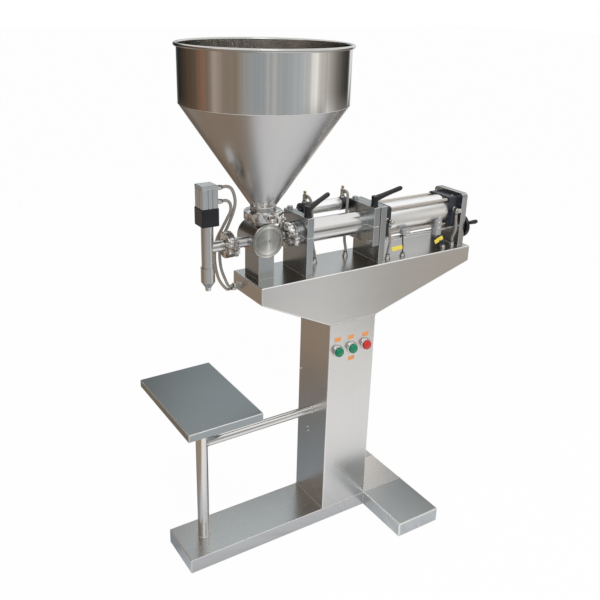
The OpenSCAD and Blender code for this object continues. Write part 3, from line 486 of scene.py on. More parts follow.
low_cards = card_row([
    (-180, 0.39, 0.31, 0.24), (-150, 0.43, 0.43, 0.43), (-118, 0.47, 0.49, 0.52), (-90, 0.41, 0.43, 0.45),
    (-78, 0.47, 0.49, 0.50), (-69, 0.76, 0.76, 0.76), (-58, 0.70, 0.72, 0.73), (-48, 0.52, 0.50, 0.47),
    (-33, 0.50, 0.46, 0.41), (0, 0.41, 0.38, 0.34), (30, 0.16, 0.15, 0.14), (38, 0.90, 0.86, 0.82),
    (52, 0.90, 0.86, 0.82), (60, 0.12, 0.11, 0.10), (92, 0.25, 0.19, 0.15), (106, 0.18, 0.13, 0.10),
    (120, 0.33, 0.25, 0.18), (140, 0.34, 0.27, 0.21), (180, 0.39, 0.31, 0.24)])
middle_cards = card_row([
    (-180, 0.30, 0.25, 0.20), (-150, 0.40, 0.40, 0.40), (-95, 0.42, 0.43, 0.45), (-80, 0.32, 0.34, 0.35),
    (-68, 0.24, 0.24, 0.24), (-55, 0.16, 0.16, 0.15), (-48, 0.50, 0.50, 0.50), (-41, 0.95, 0.95, 0.95),
    (-34, 0.70, 0.66, 0.62), (-15, 0.36, 0.33, 0.30), (30, 0.20, 0.20, 0.20), (40, 0.30, 0.31, 0.33),
    (44, 1.00, 0.92, 0.84), (51, 1.00, 0.92, 0.84), (58, 0.12, 0.12, 0.12), (92, 0.22, 0.18, 0.15),
    (108, 0.14, 0.11, 0.09), (118, 0.36, 0.32, 0.28), (140, 0.36, 0.32, 0.28), (150, 0.24, 0.18, 0.15),
    (180, 0.30, 0.25, 0.20)])
high_cards = card_row([
    (-180, 0.40, 0.33, 0.28), (-170, 0.27, 0.22, 0.18), (-158, 0.26, 0.21, 0.16),
    (-146, 0.35, 0.36, 0.35), (-134, 0.34, 0.37, 0.39), (-120, 0.47, 0.48, 0.47),
    (-106, 0.38, 0.41, 0.42), (-91, 0.47, 0.50, 0.52), (-76, 0.55, 0.56, 0.56), (-70, 0.82, 0.82, 0.77),
    (-64, 1.00, 1.00, 0.96), (-58, 0.64, 0.61, 0.58), (-42, 0.50, 0.49, 0.46), (-25, 0.23, 0.22, 0.20),
    (-7, 0.09, 0.08, 0.07), (10, 0.04, 0.04, 0.04), (22, 0.12, 0.12, 0.12), (40, 0.48, 0.51, 0.53),
    (55, 0.56, 0.60, 0.62), (66, 0.54, 0.60, 0.62), (88, 0.56, 0.61, 0.62), (98, 0.10, 0.10, 0.10),
    (113, 0.02, 0.02, 0.02), (128, 0.05, 0.04, 0.03), (141, 0.09, 0.06, 0.04), (154, 0.12, 0.09, 0.06),
    (166, 0.28, 0.15, 0.10), (172, 0.20, 0.16, 0.12), (180, 0.40, 0.33, 0.28)])
# Painted shadow: the cards' ground, which only the metal mirrors, darkens under and behind the machine as
# the machine's shadow on the floor.
shadowed_ground_cards = card_ramp((spot_y + ring_reach) / (2 * ring_reach), -ring_reach, ring_reach, [
    (-1.2, 0.90, 0.88, 0.85), (-0.55, 0.95, 0.95, 0.95), (-0.3, 0.88, 0.88, 0.90),
    (-0.1, 0.60, 0.61, 0.63), (0.05, 0.29, 0.32, 0.34), (0.4, 0.21, 0.22, 0.23), (0.75, 0.26, 0.21, 0.17),
    (1.2, 0.33, 0.25, 0.19)])


def card_zone(value, start, end):
    """A share that rises smoothly from 0 at start to 1 at end."""
    return card.node("ShaderNodeMapRange", {"interpolation_type": "SMOOTHSTEP"}, {
        "Value": value, "From Min": start, "From Max": end})


# Lengths are in metres, and places round the ring in turns, with 0 on the left and 0.5 at the handwheel.
# A card fades in between the two numbers of its pair.
path_edge = (-0.8, -0.62)
path_tone = (0.36, 0.28, 0.21)
ground = card.blend(card_zone(spot, *path_edge), path_tone, shadowed_ground_cards)
middle_low = (0.54, 0.66)
high_low = (0.98, 1.14)
white_low = (1.42, 1.72)
middle_drops_at = (0.80, 0.83)
middle_drop = 0.2
white_rises_at = (0.66, 0.70)
white_rise = 0.35
middle_height = height + card_zone(around, *middle_drops_at) * middle_drop
white_height = height - card_zone(around, *white_rises_at) * white_rise
walls = card.blend(card_zone(middle_height, *middle_low), low_cards, middle_cards)
walls = card.blend(card_zone(height, *high_low), walls, high_cards)
slanted_start = (0.55, 0.57)
slanted_end = (0.612, 0.628)
slanted_low = (1.14, 1.20)
slanted_middle = 0.592
slant = 4.0
slanted_tone = (0.80, 0.79, 0.77)
slanted_card = card_zone(around, *slanted_start) * (1.0 - card_zone(around, *slanted_end)) * card_zone(
    height - (around - slanted_middle) * slant, *slanted_low)
walls = card.blend(slanted_card, walls, slanted_tone)
walls = card.blend(card_zone(white_height, *white_low), walls, (white, white, white))
fold_count = 90
folds = card.node("ShaderNodeTexNoise", {"noise_dimensions": "1D"}, {
    "W": around * fold_count, "Scale": 1.0, "Detail": 3.0})
card.surface(card.node("ShaderNodeEmission", None, {
    "Color": card.blend(height > card_floor * 2, ground, walls), "Strength": folds * 0.5 + 0.75}))
ring_mesh.materials.append(card.material)

# Feet: a long channel under the tray and the column, and two short ones that stop it tipping. All are
# folded from brushed stainless sheet, and the short ones are welded to the long one's sides.
along_x = (3, 420, 420)
along_y = (420, 3, 420)
along_z = (420, 420, 3)
foot_steel = steel("foot_steel", (0.74, 0.74, 0.74), along_x, 0.26, scratch=0.0002)
# Painted shade: the short feet take a darker copy of the same sheet steel.
shaded_side_steel = steel("side_foot_steel", (0.54, 0.57, 0.58), along_y, 0.24, soft=0.04, scratch=0.0001)
foot_round = 3.0 * mm
eased("main_foot", foot_round, foot_steel, edge=fold_steel)
eased("side_feet", foot_round, shaded_side_steel, edge=fold_steel)
foot_low, foot_high = corners("main_foot")
side_low, side_high = corners("side_feet")


class Growth(Pattern):
    """A Geometry Nodes tree with named inputs, run on bare points and kept as plain mesh."""

    def __init__(self, name, **kinds):
        super().__init__(bpy.data.node_groups.new(name, "GeometryNodeTree"))
        sockets = self.tree.interface
        self.keys = {}
        for label, kind in (("Geometry", "NodeSocketGeometry"), *kinds.items()):
            self.keys[label] = sockets.new_socket(label, in_out="INPUT", socket_type=kind).identifier
        sockets.new_socket("Geometry", in_out="OUTPUT", socket_type="NodeSocketGeometry")
        inputs = self.tree.nodes.new("NodeGroupInput").outputs
        self.given = {label: Value(self, inputs[label]) for label in self.keys}

    def ball(self):
        """A small round shape to stand on points."""
        return self.node("GeometryNodeMeshUVSphere", None, {"Segments": 8, "Rings": 5, "Radius": 1.0})

    def close(self, geometry):
        """The last nodes of every tree: real geometry, in the material that it was given."""
        real = self.node("GeometryNodeRealizeInstances", None, {"Geometry": geometry})
        painted = self.node("GeometryNodeSetMaterial", None, {
            "Geometry": real, "Material": self.given["Material"]})
        self.give(self.tree.nodes.new("NodeGroupOutput"), 0, painted)

    def grow(self, name, points, edges, **values):
        """Runs the tree on points in millimetres and on the edges between them."""
        mesh = bpy.data.meshes.new(name)
        mesh.from_pydata([Vector(point) * mm for point in points], edges, [])
        bare = bpy.data.objects.new(name + "_points", mesh)
        scene.collection.objects.link(bare)
        growing = bare.modifiers.new("growing", "NODES")
        growing.node_group = self.tree
        for label, value in values.items():
            growing[self.keys[label]] = value
        ready = bpy.context.evaluated_depsgraph_get()
        grown = bpy.data.meshes.new_from_object(bare.evaluated_get(ready), depsgraph=ready)
        bpy.data.objects.remove(bare)
        return bpy.data.objects.new(name, smoothed(grown, 40))


seam_growth = Growth("weld_seam", Material="NodeSocketMaterial", Spacing="NodeSocketFloat",
                     Size="NodeSocketVector")
seam_path = seam_growth.node("GeometryNodeMeshToCurve", None, {"Mesh": seam_growth.given["Geometry"]})
seam_steps = seam_growth.node("GeometryNodeResampleCurve", {"mode": "LENGTH"}, {
    "Curve": seam_path, "Length": seam_growth.given["Spacing"]})
seam_drop = seam_growth.ball()
seam_heading = seam_growth.node("FunctionNodeAlignRotationToVector", {"axis": "X"}, {
    "Vector": seam_growth.node("GeometryNodeInputTangent")})
seam_growth.close(seam_growth.node("GeometryNodeInstanceOnPoints", None, {
    "Points": seam_steps, "Instance": seam_drop, "Rotation": seam_heading,
    "Scale": seam_growth.given["Size"]}))
weld_steel = steel("weld_steel", (0.78, 0.77, 0.75), (250, 250, 250), 0.3)
drop_stretch = 1.35


def weld(name, points, radius, closed=False):
    """A weld bead along points, rippled by the drops that the rod left."""
    edges = [(k, k + 1) for k in range(len(points) - 1)]
    if closed:
        edges.append((len(points) - 1, 0))
    bead = radius * mm
    piece = seam_growth.grow(name, points, edges, Material=weld_steel, Spacing=bead,
                             Size=(drop_stretch * bead, bead, bead))
    show(piece, weld_steel)


def hoop(foot, axis, radius, count=60, height=0.0, start=0.0):
    """Points round a circle, at a height on the axis that stands on foot."""
    stand = Vector(axis).to_track_quat("Z", "Y").to_matrix()
    return [Vector(foot) + stand @ Vector((radius * math.cos(a), radius * math.sin(a), height))
            for a in bearings(count, start)]


weld_start = 4
for side, y in (("front", foot_low.y), ("back", foot_high.y)):
    weld(side + "_foot_weld", [(side_low.x, y, weld_start), (side_low.x, y, foot_high.z),
                               (side_high.x, y, foot_high.z)], radius=1.1)

# Column: a folded sheet box, brushed upright and welded onto the foot. A plain cover closes its rear
# opening on six screws, three small screws sit in its left wall, and bare label tags stand round the
# buttons.
column_steel = steel("column_steel", (0.74, 0.735, 0.73), along_z, 0.24)
eased("column", 2.5 * mm, column_steel, edge=fold_steel)
eased("rear_cover", 0.5 * mm, column_steel)
column_low, column_high = corners("column")
for place, z in (("lower", column_low.z), ("upper", column_high.z)):
    weld(place + "_column_weld", rectangle(column_low, column_high, z), closed=True, radius=1.2)


class Form:
    """A piece in the making: turned, bent and milled shapes in millimetres, joined in one mesh."""

    def __init__(self):
        self.mesh = bmesh.new()

    def skin(self, rings, closed=False):
        """Walls between rings of points, with both ends capped unless the rings close on themselves."""
        rows = [[self.mesh.verts.new(Vector(point) * mm) for point in ring] for ring in rings]
        steps = list(zip(rows, rows[1:]))
        if closed:
            steps.append((rows[-1], rows[0]))
        for here, there in steps:
            for k in range(len(here)):
                self.mesh.faces.new((here[k - 1], here[k], there[k], there[k - 1]))
        if not closed:
            self.mesh.faces.new(rows[0])
            self.mesh.faces.new(rows[-1])
        bmesh.ops.remove_doubles(self.mesh, verts=[vert for row in rows for vert in row], dist=0.002 * mm)

    def turned(self, outline, foot, axis, sides=72, closed=False):
        """Turns an outline of (radius, height) round an axis that stands on foot."""
        self.skin([hoop(foot, axis, radius, sides, height, 0.5) for radius, height in outline], closed)

    def bent(self, points, widths, across, thin, sides=20):
        """A bar along points, with its own half width at each; thin flattens it square to across."""
        line = [Vector(point) for point in points]
        side = Vector(across)
        rings = []
        for k, width in enumerate(widths):
            heading = (line[min(k + 1, len(line) - 1)] - line[max(k - 1, 0)]).normalized()
            side = (side - heading * side.dot(heading)).normalized()
            other = heading.cross(side) * thin
            rings.append([line[k] + (side * math.cos(a) + other * math.sin(a)) * width
                          for a in bearings(sides)])
        self.skin(rings)

    def block(self, low, high):
        """A box between two corners."""
        self.skin([rectangle(low, high, z) for z in (low[2], high[2])])

    def done(self, name, width=0.0, corner=fold_angle):
        """The finished piece, smooth but for folds past corner, which are rounded where it has a width."""
        bmesh.ops.recalc_face_normals(self.mesh, faces=self.mesh.faces)
        mesh = bpy.data.meshes.new(name)
        self.mesh.to_mesh(mesh)
        self.mesh.free()
        piece = bpy.data.objects.new(name, smoothed(mesh, corner))
        if width:
            rounded(piece, width, corner)
        return piece


cap_screw = Form()
cap_screw.turned([(0, -0.2), (0.97, -0.2), (1, 0), (1, 0.62), (0.86, 0.78), (0.6, 0.78), (0.54, 0.72),
                  (0.5, 0.2), (0, 0.2)], (0, 0, 0), (0, 0, 1), sides=18)
cap_screw = cap_screw.done("cap_screw")
scene.collection.objects.link(cap_screw)
screw_growth = Growth("screws", Material="NodeSocketMaterial", Screw="NodeSocketObject",
                      Radius="NodeSocketFloat", Facing="NodeSocketVector")
screw_shape = screw_growth.node("GeometryNodeObjectInfo", None, {
    "Object": screw_growth.given["Screw"]}, "Geometry")
screw_stand = screw_growth.node("FunctionNodeAlignRotationToVector", {"axis": "Z"}, {
    "Vector": screw_growth.given["Facing"]})
screw_growth.close(screw_growth.node("GeometryNodeInstanceOnPoints", None, {
    "Points": screw_growth.given["Geometry"], "Instance": screw_shape, "Rotation": screw_stand,
    "Scale": screw_growth.given["Radius"]}))
turned_steel = steel("turned_steel", (0.66, 0.66, 0.67), (500, 500, 500), 0.25)


def screws(name, places, facing, radius, material=turned_steel, stands_for=()):
    """Socket cap screws at places, with their heads towards facing."""
    piece = screw_growth.grow(name, places, [], Material=material, Screw=cap_screw, Radius=float(radius),
                              Facing=facing)
    show(piece, material, stands_for=stands_for)


cover_screw_r = 3.2
cover_inset = 4
cover_low, cover_high = corners("cover_screws")
cover_face = corners("rear_cover")[1].y
cover_columns = (cover_low.x + cover_inset, cover_high.x - cover_inset)
cover_rows = (cover_low.z + cover_inset, (cover_low.z + cover_high.z) / 2, cover_high.z - cover_inset)
screws("cover_screw_heads", [(x, cover_face, z) for x in cover_columns for z in cover_rows], (0, 1, 0),
       cover_screw_r, stands_for=["cover_screws"])
side_screw_r = 2.6
side_screw_spots = ((19.8, 286.4), (16.3, 274.5), (65.3, 466))
# The side screw heads take the near-white steel as a painted highlight.
screws("side_screws", [(column_low.x, y, z) for y, z in side_screw_spots], (-1, 0, 0), side_screw_r,
       fold_steel)
tag_half_w = 10.5
tag_half_h = 6
tag_t = 0.5
tags = Form()
for x, z in ((-51.2, 613.7), (-5.3, 611.8), (45.7, 609.2), (-1.0, 544.3)):
    tags.block((x - tag_half_w, column_low.y - tag_t, z - tag_half_h),
               (x + tag_half_w, column_low.y, z + tag_half_h))
tag_finish = plastic("orange_tag", (0.85, 0.30, 0.06), (0.95, 0.38, 0.10), 0.45)
show(tags.done("button_tags", 0.2 * mm), tag_finish)

# Beam: a welded sheet box that tapers to both ends, brushed along its length. Its deck carries the
# plates and the valve.
beam_steel = steel("beam_steel", (0.70, 0.69, 0.68), along_x, 0.22, scratch=0.0002)
eased("beam", 3.2 * mm, beam_steel, edge=fold_steel)

# Bottle tray: a folded pan on a tube post, with a tube bar that ties it to the column. Weld beads run
# round both tubes where they meet.
# Painted shade: the tray's sheet is given a far darker tone than the other sheet steel.
tray_steel = steel("tray_steel", (0.38, 0.42, 0.44), along_y, 0.34)
tube_steel = steel("tube_steel", (0.80, 0.79, 0.78), along_z, 0.14)
bar_steel = steel("bar_steel", (0.80, 0.79, 0.78), along_x, 0.14)
eased("tray", 2.0 * mm, tray_steel, edge=fold_steel)
dress("tray_post", tube_steel)
dress("tray_bar", bar_steel)
post_low, post_high = corners("tray_post")
bar_low, bar_high = corners("tray_bar")
post_middle = centre("tray_post")
bar_middle = centre("tray_bar")
post_r = (post_high.x - post_low.x) / 2
bar_r = (bar_high.z - bar_low.z) / 2
bead_out = 0.6
bead_in = 1
for name, place, axis, radius, bead in (
        ("post_foot_weld", (post_middle.x, post_middle.y, post_low.z + bead_out), (0, 0, 1), post_r, 1.5),
        ("bar_post_weld", (post_high.x - bead_in, bar_middle.y, bar_middle.z), (1, 0, 0), bar_r, 1.3),
        ("bar_column_weld", (bar_high.x - bead_out, bar_middle.y, bar_middle.z), (1, 0, 0), bar_r, 1.3)):
    weld(name, hoop(place, axis, radius), closed=True, radius=bead)

# Push buttons: chromed collars screwed through the column's front wall, with spring caps in green, green
# and red. Their switch blocks and the air valves stand behind them in the column.
chrome = steel("chrome", (0.80, 0.80, 0.80), (300, 300, 300), 0.10, soft=0.04, scratch=0.00005)
green = plastic("green_plastic", (0.0, 0.17, 0.08), (0.005, 0.28, 0.14), 0.2)
red = plastic("red_plastic", (0.50, 0.015, 0.015), (0.66, 0.04, 0.03), 0.2)
button_places = {name: (centre(name + "_button").x, column_low.y, centre("button_bezels").z)
                 for name in ("start", "cycle", "stop")}
bezels = Form()
for middle in button_places.values():
    bezels.turned([(9, -20), (11, -20), (11, 0), (18, 0), (18, 3.2), (17.2, 4.4), (16, 7.6), (15.4, 8),
                   (14.4, 8), (13.8, 7.3), (13.75, 3), (9, 3)], middle, (0, -1, 0), closed=True)
    bezels.turned([(14.5, -7), (15, -6.5), (15, -2.5), (14.5, -2)], middle, (0, -1, 0), sides=6)
show(bezels.done("button_collars"), chrome, stands_for=["button_bezels"])


def turned_piece(name, outline, foot, axis, material, slot, body="frame", stands_for=(), **how):
    """A piece that is turned in one go, finished and shown."""
    form = Form()
    form.turned(outline, foot, axis, **how)
    return show(form.done(name), material, body, stands_for)


for name, finish, slot in (("start", green, "green_cap"), ("cycle", green, "green_cap"),
                           ("stop", red, "red_cap")):
    turned_piece(name + "_cap_piece", [
        (0, -15.7), (8.6, -15.7), (8.6, 7.2), (13.4, 7.2), (13.4, 12.4), (13.0, 14.0), (12.0, 15.0),
        (11.4, 15.0), (11.0, 14.7), (10.4, 15.1), (7.5, 16.6), (4, 17.5), (0, 17.8)],
        button_places[name], (0, -1, 0), finish, slot, name + "_cap", [name + "_button"])
grey = plastic("grey_plastic", (0.30, 0.30, 0.31), (0.40, 0.40, 0.41), 0.4)
pale = plastic("white_plastic", (0.74, 0.74, 0.72), (0.84, 0.84, 0.82), 0.4)
eased("contact_blocks", 0.6 * mm, pale)
eased("solenoid_bank", 0.8 * mm, grey)

# Hopper: a rolled cylinder and a cone of polished stainless, welded round their seam, with a wired rim
# on top and a neck with its ferrule below. Hand polishing leaves the sheet very slightly wavy.
bright_steel = steel("bright_steel", (0.80, 0.79, 0.78), (30, 30, 900), 0.09, soft=0.04,
                     scratch=0.00003, wave=0.0004)
# Painted shade: the rim takes a darker copy of the hopper's polished steel.
rim_steel = steel("rim_steel", (0.60, 0.60, 0.59), (200, 200, 200), 0.12, soft=0.05)
# Painted shade: the inside of the bowl takes a darker, warmer copy of the steel, with denser patches.
lining_steel = steel("lining_steel", (0.60, 0.58, 0.55), (30, 30, 500), 0.16, soft=0.12, cloud=22.0)
funnel_steel = steel("funnel_steel", (0.58, 0.58, 0.585), (40, 40, 40), 0.25, soft=0.05,
                     scratch=0.00003, wave=0.0002)
hopper_low, hopper_high = corners("hopper")
hopper_x = (hopper_low.x + hopper_high.x) / 2
seam_z = hopper_low.z
rim = 4.5
wall = 2
hopper_r = hopper_high.x - hopper_x - 2 * rim + wall
rim_z = hopper_high.z - rim
hopper_foot = (hopper_x, 0, 0)
hopper_sides = 180
bowl = turned_piece("hopper_bowl", [
    (hopper_r - wall, seam_z), (hopper_r, seam_z), (hopper_r, rim_z), (hopper_r - wall, rim_z)],
    hopper_foot, (0, 0, 1), bright_steel, "polished_steel", stands_for=["hopper"], sides=hopper_sides,
    closed=True)
bowl.data.materials.append(lining_steel)
for face in bowl.data.polygons:
    inward = Vector((hopper_x * mm, 0, 0)) - face.center
    face.material_index = int(face.normal.x * inward.x + face.normal.y * inward.y > 0)


def wire(radius, height, across, up):
    """The outline of a wire bent to a ring: its middle's radius and height, and its two half widths."""
    return [(radius + across * math.cos(a), height + up * math.sin(a)) for a in bearings(16)]


turned_piece("hopper_rim", wire(hopper_r + rim - wall, rim_z, rim, rim), hopper_foot, (0, 0, 1), rim_steel,
             "polished_steel", sides=hopper_sides, closed=True)
cone_foot = corners("hopper_cone")[0].z
neck_z = 1012
funnel = Form()
funnel.turned([
    (31, cone_foot), (42, cone_foot), (42, cone_foot + 2.2), (41.4, cone_foot + 2.8),
    (33.6, cone_foot + 5.6), (33, cone_foot + 7), (33, neck_z - 2), (33.5, neck_z + 1),
    (34.8, neck_z + 3.2), (hopper_r, seam_z), (hopper_r - wall, seam_z), (33.2, neck_z + 3.8),
    (31.4, neck_z + 1.2), (31, neck_z - 1)], hopper_foot, (0, 0, 1), sides=hopper_sides, closed=True)
show(funnel.done("hopper_funnel", corner=50), funnel_steel, stands_for=["hopper_cone"])
weld("hopper_weld", hoop((hopper_x, 0, seam_z), (0, 0, 1), hopper_r - 0.5, hopper_sides), closed=True,
     radius=0.8)
weld("neck_weld", hoop((hopper_x, 0, neck_z - 1), (0, 0, 1), 32.6), closed=True, radius=1.2)

# Sanitary clamps: cast shells round each ferrule joint, with a rubber gasket between the ferrules, a
# hinge behind, and a bolt in front whose wing nut turns by hand.
cast_finish = Finish("cast_steel", metallic=1.0)
lumps_and_glints = cast_finish.noise((70, 70, 70))
# Painted highlights and shade: the shells' colour jumps between dark brown and near white in patches,
# standing in for the clamps' glints and dark reflections. The same noise also gives real lumps in the bump
# and roughness.
painted_glint_patches = cast_finish.node("ShaderNodeMapRange", None, {
    "Value": lumps_and_glints, "From Min": 0.36, "From Max": 0.62})
cast_finish.colour(cast_finish.blend(painted_glint_patches, (0.24, 0.21, 0.19), (0.97, 0.96, 0.94)))
cast_finish.rough(lumps_and_glints * 0.12 + 0.04)
cast_finish.bump(lumps_and_glints, 0.003, 0.8)
cast_steel = cast_finish.material
gasket_rubber = plastic("gasket_rubber", (0.70, 0.69, 0.65), (0.82, 0.81, 0.77), 0.6)
for name in ("hopper_clamp", "port_clamps"):
    eased(name, 0.9 * mm, cast_steel)
dress("clamp_gaskets", gasket_rubber)
wing_curve = ((4.6, 2.2), (6.2, 4.4), (7.8, 7.2), (8.8, 9.4), (9.3, 11.2), (9.4, 12.6), (9.4, 13.2))
wing_widths = (2.4, 2.7, 2.6, 2.5, 2.4, 1.7, 0.6)
for joint, axis, wing in (("hopper", (1, 0, 0), (0, 0, 1)), ("nozzle", (0, 0, 1), (1, 0, 0)),
                          ("cylinder", (0, 0, 1), (1, 0, 0))):
    name = joint + "_wing_nut"
    low, high = corners(name)
    up = Vector(axis)
    out = Vector(wing)
    foot = centre(name) - up * (high - low).dot(up) / 2
    nut = Form()
    nut.turned([(4.3, 0), (6.6, 0), (7, 0.4), (6.9, 1.6), (5.9, 8.4), (5.5, 9), (4.3, 9)], foot, axis,
               sides=40, closed=True)
    for side in (-1, 1):
        nut.bent([foot + out * side * reach + up * rise for reach, rise in wing_curve], wing_widths,
                 wing, 0.58)
    show(nut.done(name + "_piece"), cast_steel, joint + "_nut", [name])

# Three-way valve: a turned body on a bent bracket, closed in front by a faced cover whose tool marks
# run in rings round a small centre hole. Its plug, crank and air cylinder stand behind it.
valve_x = hopper_x
valve_z = centre("valve_cover").z
lid_low, lid_high = corners("valve_cover")
lid_r = (lid_high.x - lid_low.x) / 2
faced_steel = Finish("faced_steel", metallic=1.0)
face_spot = faced_steel.place()
face_middle = (valve_x * mm, lid_low.y * mm, valve_z * mm)
face_reach = faced_steel.node("ShaderNodeVectorMath", {"operation": "DISTANCE"}, {
    0: face_spot, 1: face_middle}, 1)
tool_marks = 4500
face_rings = faced_steel.node("ShaderNodeMath", {"operation": "SINE"}, {0: face_reach * tool_marks})
face_stains = faced_steel.noise((90, 90, 90), 4.0)
face_side = faced_steel.node("ShaderNodeMath", {"operation": "ABSOLUTE"}, {
    0: faced_steel.node("ShaderNodeSeparateXYZ", None, {0: face_spot}) - face_middle[0]})
# Painted highlight: the cover's colour is bright in an upright band through its centre and darkens towards
# both sides, as a turned face's highlight falls.
painted_highlight_band = (face_side / (face_reach + 2 * mm)) ** 0.6
faced_steel.colour(faced_steel.blend(painted_highlight_band + face_stains * 0.3 - 0.15, (0.90, 0.88, 0.84),
                                     (0.34, 0.335, 0.31)))
faced_steel.rough(face_stains * 0.1 + 0.20)
faced_steel.bump(face_rings, 0.00003, 0.6)
turned_piece("valve_lid", [
    (0, 0), (lid_r, 0), (lid_r, 2.4), (lid_r - 0.8, 3.4), (lid_r - 3, 4.1), (lid_r - 9, 4.7),
    (lid_r - 9.4, 4.5), (lid_r - 9.9, 4.8), (lid_r * 0.6, 5.3), (lid_r * 0.4, 5.7), (lid_r * 0.2, 5.95),
    (4, 6), (3.6, 5.6), (3.2, 2.5), (0, 2.5)], (valve_x, lid_high.y, valve_z), (0, -1, 0),
    faced_steel.material, "machined_steel", stands_for=["valve_cover"], sides=120)
dress("valve_body", funnel_steel)
for name in ("valve_plug", "valve_crank", "actuator_rod", "actuator_bracket"):
    dress(name, turned_steel)
plate_steel = steel("plate_steel", (0.44, 0.465, 0.48), (300, 300, 40), 0.24, scratch=0.0001)
eased("valve_support", 0.8 * mm, plate_steel, edge=fold_steel)
anodised = steel("anodised_tube", (0.94, 0.95, 0.96), (20, 900, 900), 0.28, soft=0.05)
navy = plastic("navy_paint", (0.008, 0.010, 0.016), (0.018, 0.024, 0.036), 0.28)
dress("actuator_barrel", anodised)
eased("actuator_caps", 1.0 * mm, navy)

# Standing plates: sawn from stainless bar and milled. The two that hold the filling cylinder are split on
# its axis, and black levers clamp their caps by hand, so that it lifts out for washing.
for name in ("front_plate", "clamp_plate", "plate_caps", "mount_plate", "end_plate"):
    eased(name, 1.0 * mm, plate_steel, edge=fold_steel)
dress("plate_bolts", turned_steel)
black = plastic("black_plastic", (0.004, 0.004, 0.005), (0.012, 0.012, 0.014), 0.24)
plate_top = corners("plate_caps")[1].z
stud_y = -44
hub_r = 10.5
arm_curve = ((1, 21), (10, 24.6), (18, 27.6), (28, 31.4), (40, 35.8), (52, 40.0), (64, 44.2), (72, 46.9),
             (77, 48.5), (79.6, 49.3))
arm_widths = (9.0, 8.6, 7.8, 7.2, 6.8, 6.6, 6.7, 6.7, 5.2, 1.8)
for name, plate, bearing in (("front", "front_plate", math.radians(13)),
                             ("rear", "clamp_plate", math.radians(-15))):
    foot = Vector((centre(plate).x, stud_y, plate_top))
    out = Vector((math.cos(bearing), math.sin(bearing), 0))
    lever = Form()
    lever.turned([(0, 0.2), (hub_r, 0.2), (hub_r, 2.4), (hub_r - 0.6, 3.2), (hub_r - 0.9, 9),
                  (hub_r - 1.1, 20), (hub_r - 0.7, 24), (hub_r - 0.9, 28), (hub_r - 2, 29.6),
                  (hub_r - 4, 30), (4.4, 30), (4, 29.4), (3.4, 26), (0, 26)], foot, (0, 0, 1), sides=48)
    lever.bent([foot + out * reach + Vector((0, 0, rise)) for reach, rise in arm_curve], arm_widths,
               (0, 0, 1), 0.92, sides=28)
    body = name + "_clamp_lever"
    show(lever.done(name + "_lever_grip"), black, body, [name + "_lever"])
    turned_piece(name + "_lever_stud", [(0, -55.6), (4.4, -55.6), (5, -54.8), (5, 0.6), (0, 0.6)], foot,
                 (0, 0, 1), turned_steel, "machined_steel", body, sides=32)

# Filling cylinder: a honed stainless tube closed by a port with a ferrule. Its piston, seals and rod
# run inside it.
tube_shine = steel("tube_shine", (0.76, 0.76, 0.76), (900, 12, 12), 0.19, soft=0.05, scratch=0.00006)
tube_low, tube_high = corners("filling_cylinder")
tube_len = tube_high.x - tube_low.x
turned_piece("cylinder_tube", [
    (11, 0), (25.4, 0), (26, 0.6), (26, 2.4), (14.6, 5.6), (14, 6.4), (14, 12), (14.6, 13), (30.6, 13),
    (32, 14.4), (32, tube_len - 0.6), (31.4, tube_len), (29, tube_len), (29, 21), (11, 21)],
    (tube_low.x, 0, valve_z), (1, 0, 0), tube_shine, "polished_steel", stands_for=["filling_cylinder"],
    sides=120, closed=True)
for name in ("filling_piston", "piston_rod"):
    dress(name, turned_steel)
dress("piston_seals", gasket_rubber)

# Drive cylinder: an anodised tube between two square painted caps, held by four tie rods. Small socket
# screws sit in the tops of the caps.
dress("drive_barrel", anodised)
dress("drive_piston", anodised)
rod_steel = steel("rod_steel", (0.60, 0.56, 0.53), (12, 900, 900), 0.12, soft=0.05)
dress("tie_rods", rod_steel)
eased("drive_caps", 2.4 * mm, navy)
cap_low, cap_high = corners("drive_caps")
cap_screw_columns = (cap_low.x + 14, cap_high.x - 18)
cap_screw_y = 34
cap_screw_r = 3.0
screws("cap_screws", [(x, y, cap_high.z) for x in cap_screw_columns for y in (-cap_screw_y, cap_screw_y)],
       (0, 0, 1), cap_screw_r)


def left_end(name):
    """The middle of a CAD piece's left end, in millimetres."""
    middle = centre(name)
    middle.x = corners(name)[0].x
    return middle


# Stroke adjustment: a screw that the black handwheel turns carries the rear sensor along the tie rod.
# The front sensor is clamped to the same rod, and both bodies have bare indicator windows.
dress("stroke_screw", turned_steel)
wheel_hub = left_end("handwheel")
wheel_r = corners("handwheel")[1].z - wheel_hub.z
rim_middle = 6
web_low = 3.4
web_high = 6.4
wheel = Form()
wheel.turned([(0, 0.2), (11.4, 0.2), (12, 0.8), (12, 14), (11.2, 14.8), (6.4, 14.8), (6, 14), (5.6, 12),
              (0, 12)], wheel_hub, (1, 0, 0))
wheel.turned(wire(wheel_r - 4.5, rim_middle, 4.3, 5.9), wheel_hub, (1, 0, 0), closed=True)
wheel.turned([(10, web_low), (wheel_r - 6, web_low), (wheel_r - 6, web_high), (10, web_high)], wheel_hub,
             (1, 0, 0), closed=True)
show(wheel.done("wheel_casting"), black, "stroke_wheel", ["handwheel"])
rib_growth = Growth("wheel_ribs", Material="NodeSocketMaterial", Size="NodeSocketVector")
rib_growth.close(rib_growth.node("GeometryNodeInstanceOnPoints", None, {
    "Points": rib_growth.given["Geometry"], "Instance": rib_growth.ball(),
    "Scale": rib_growth.given["Size"]}))
rib_count = 24
rib_places = hoop(wheel_hub + Vector((rim_middle, 0, 0)), (1, 0, 0), wheel_r - 1.3, rib_count)
ribs = rib_growth.grow("wheel_rib_row", rib_places, [], Material=black, Size=(4.6 * mm, 1.2 * mm, 1.2 * mm))
show(ribs, black, "stroke_wheel")
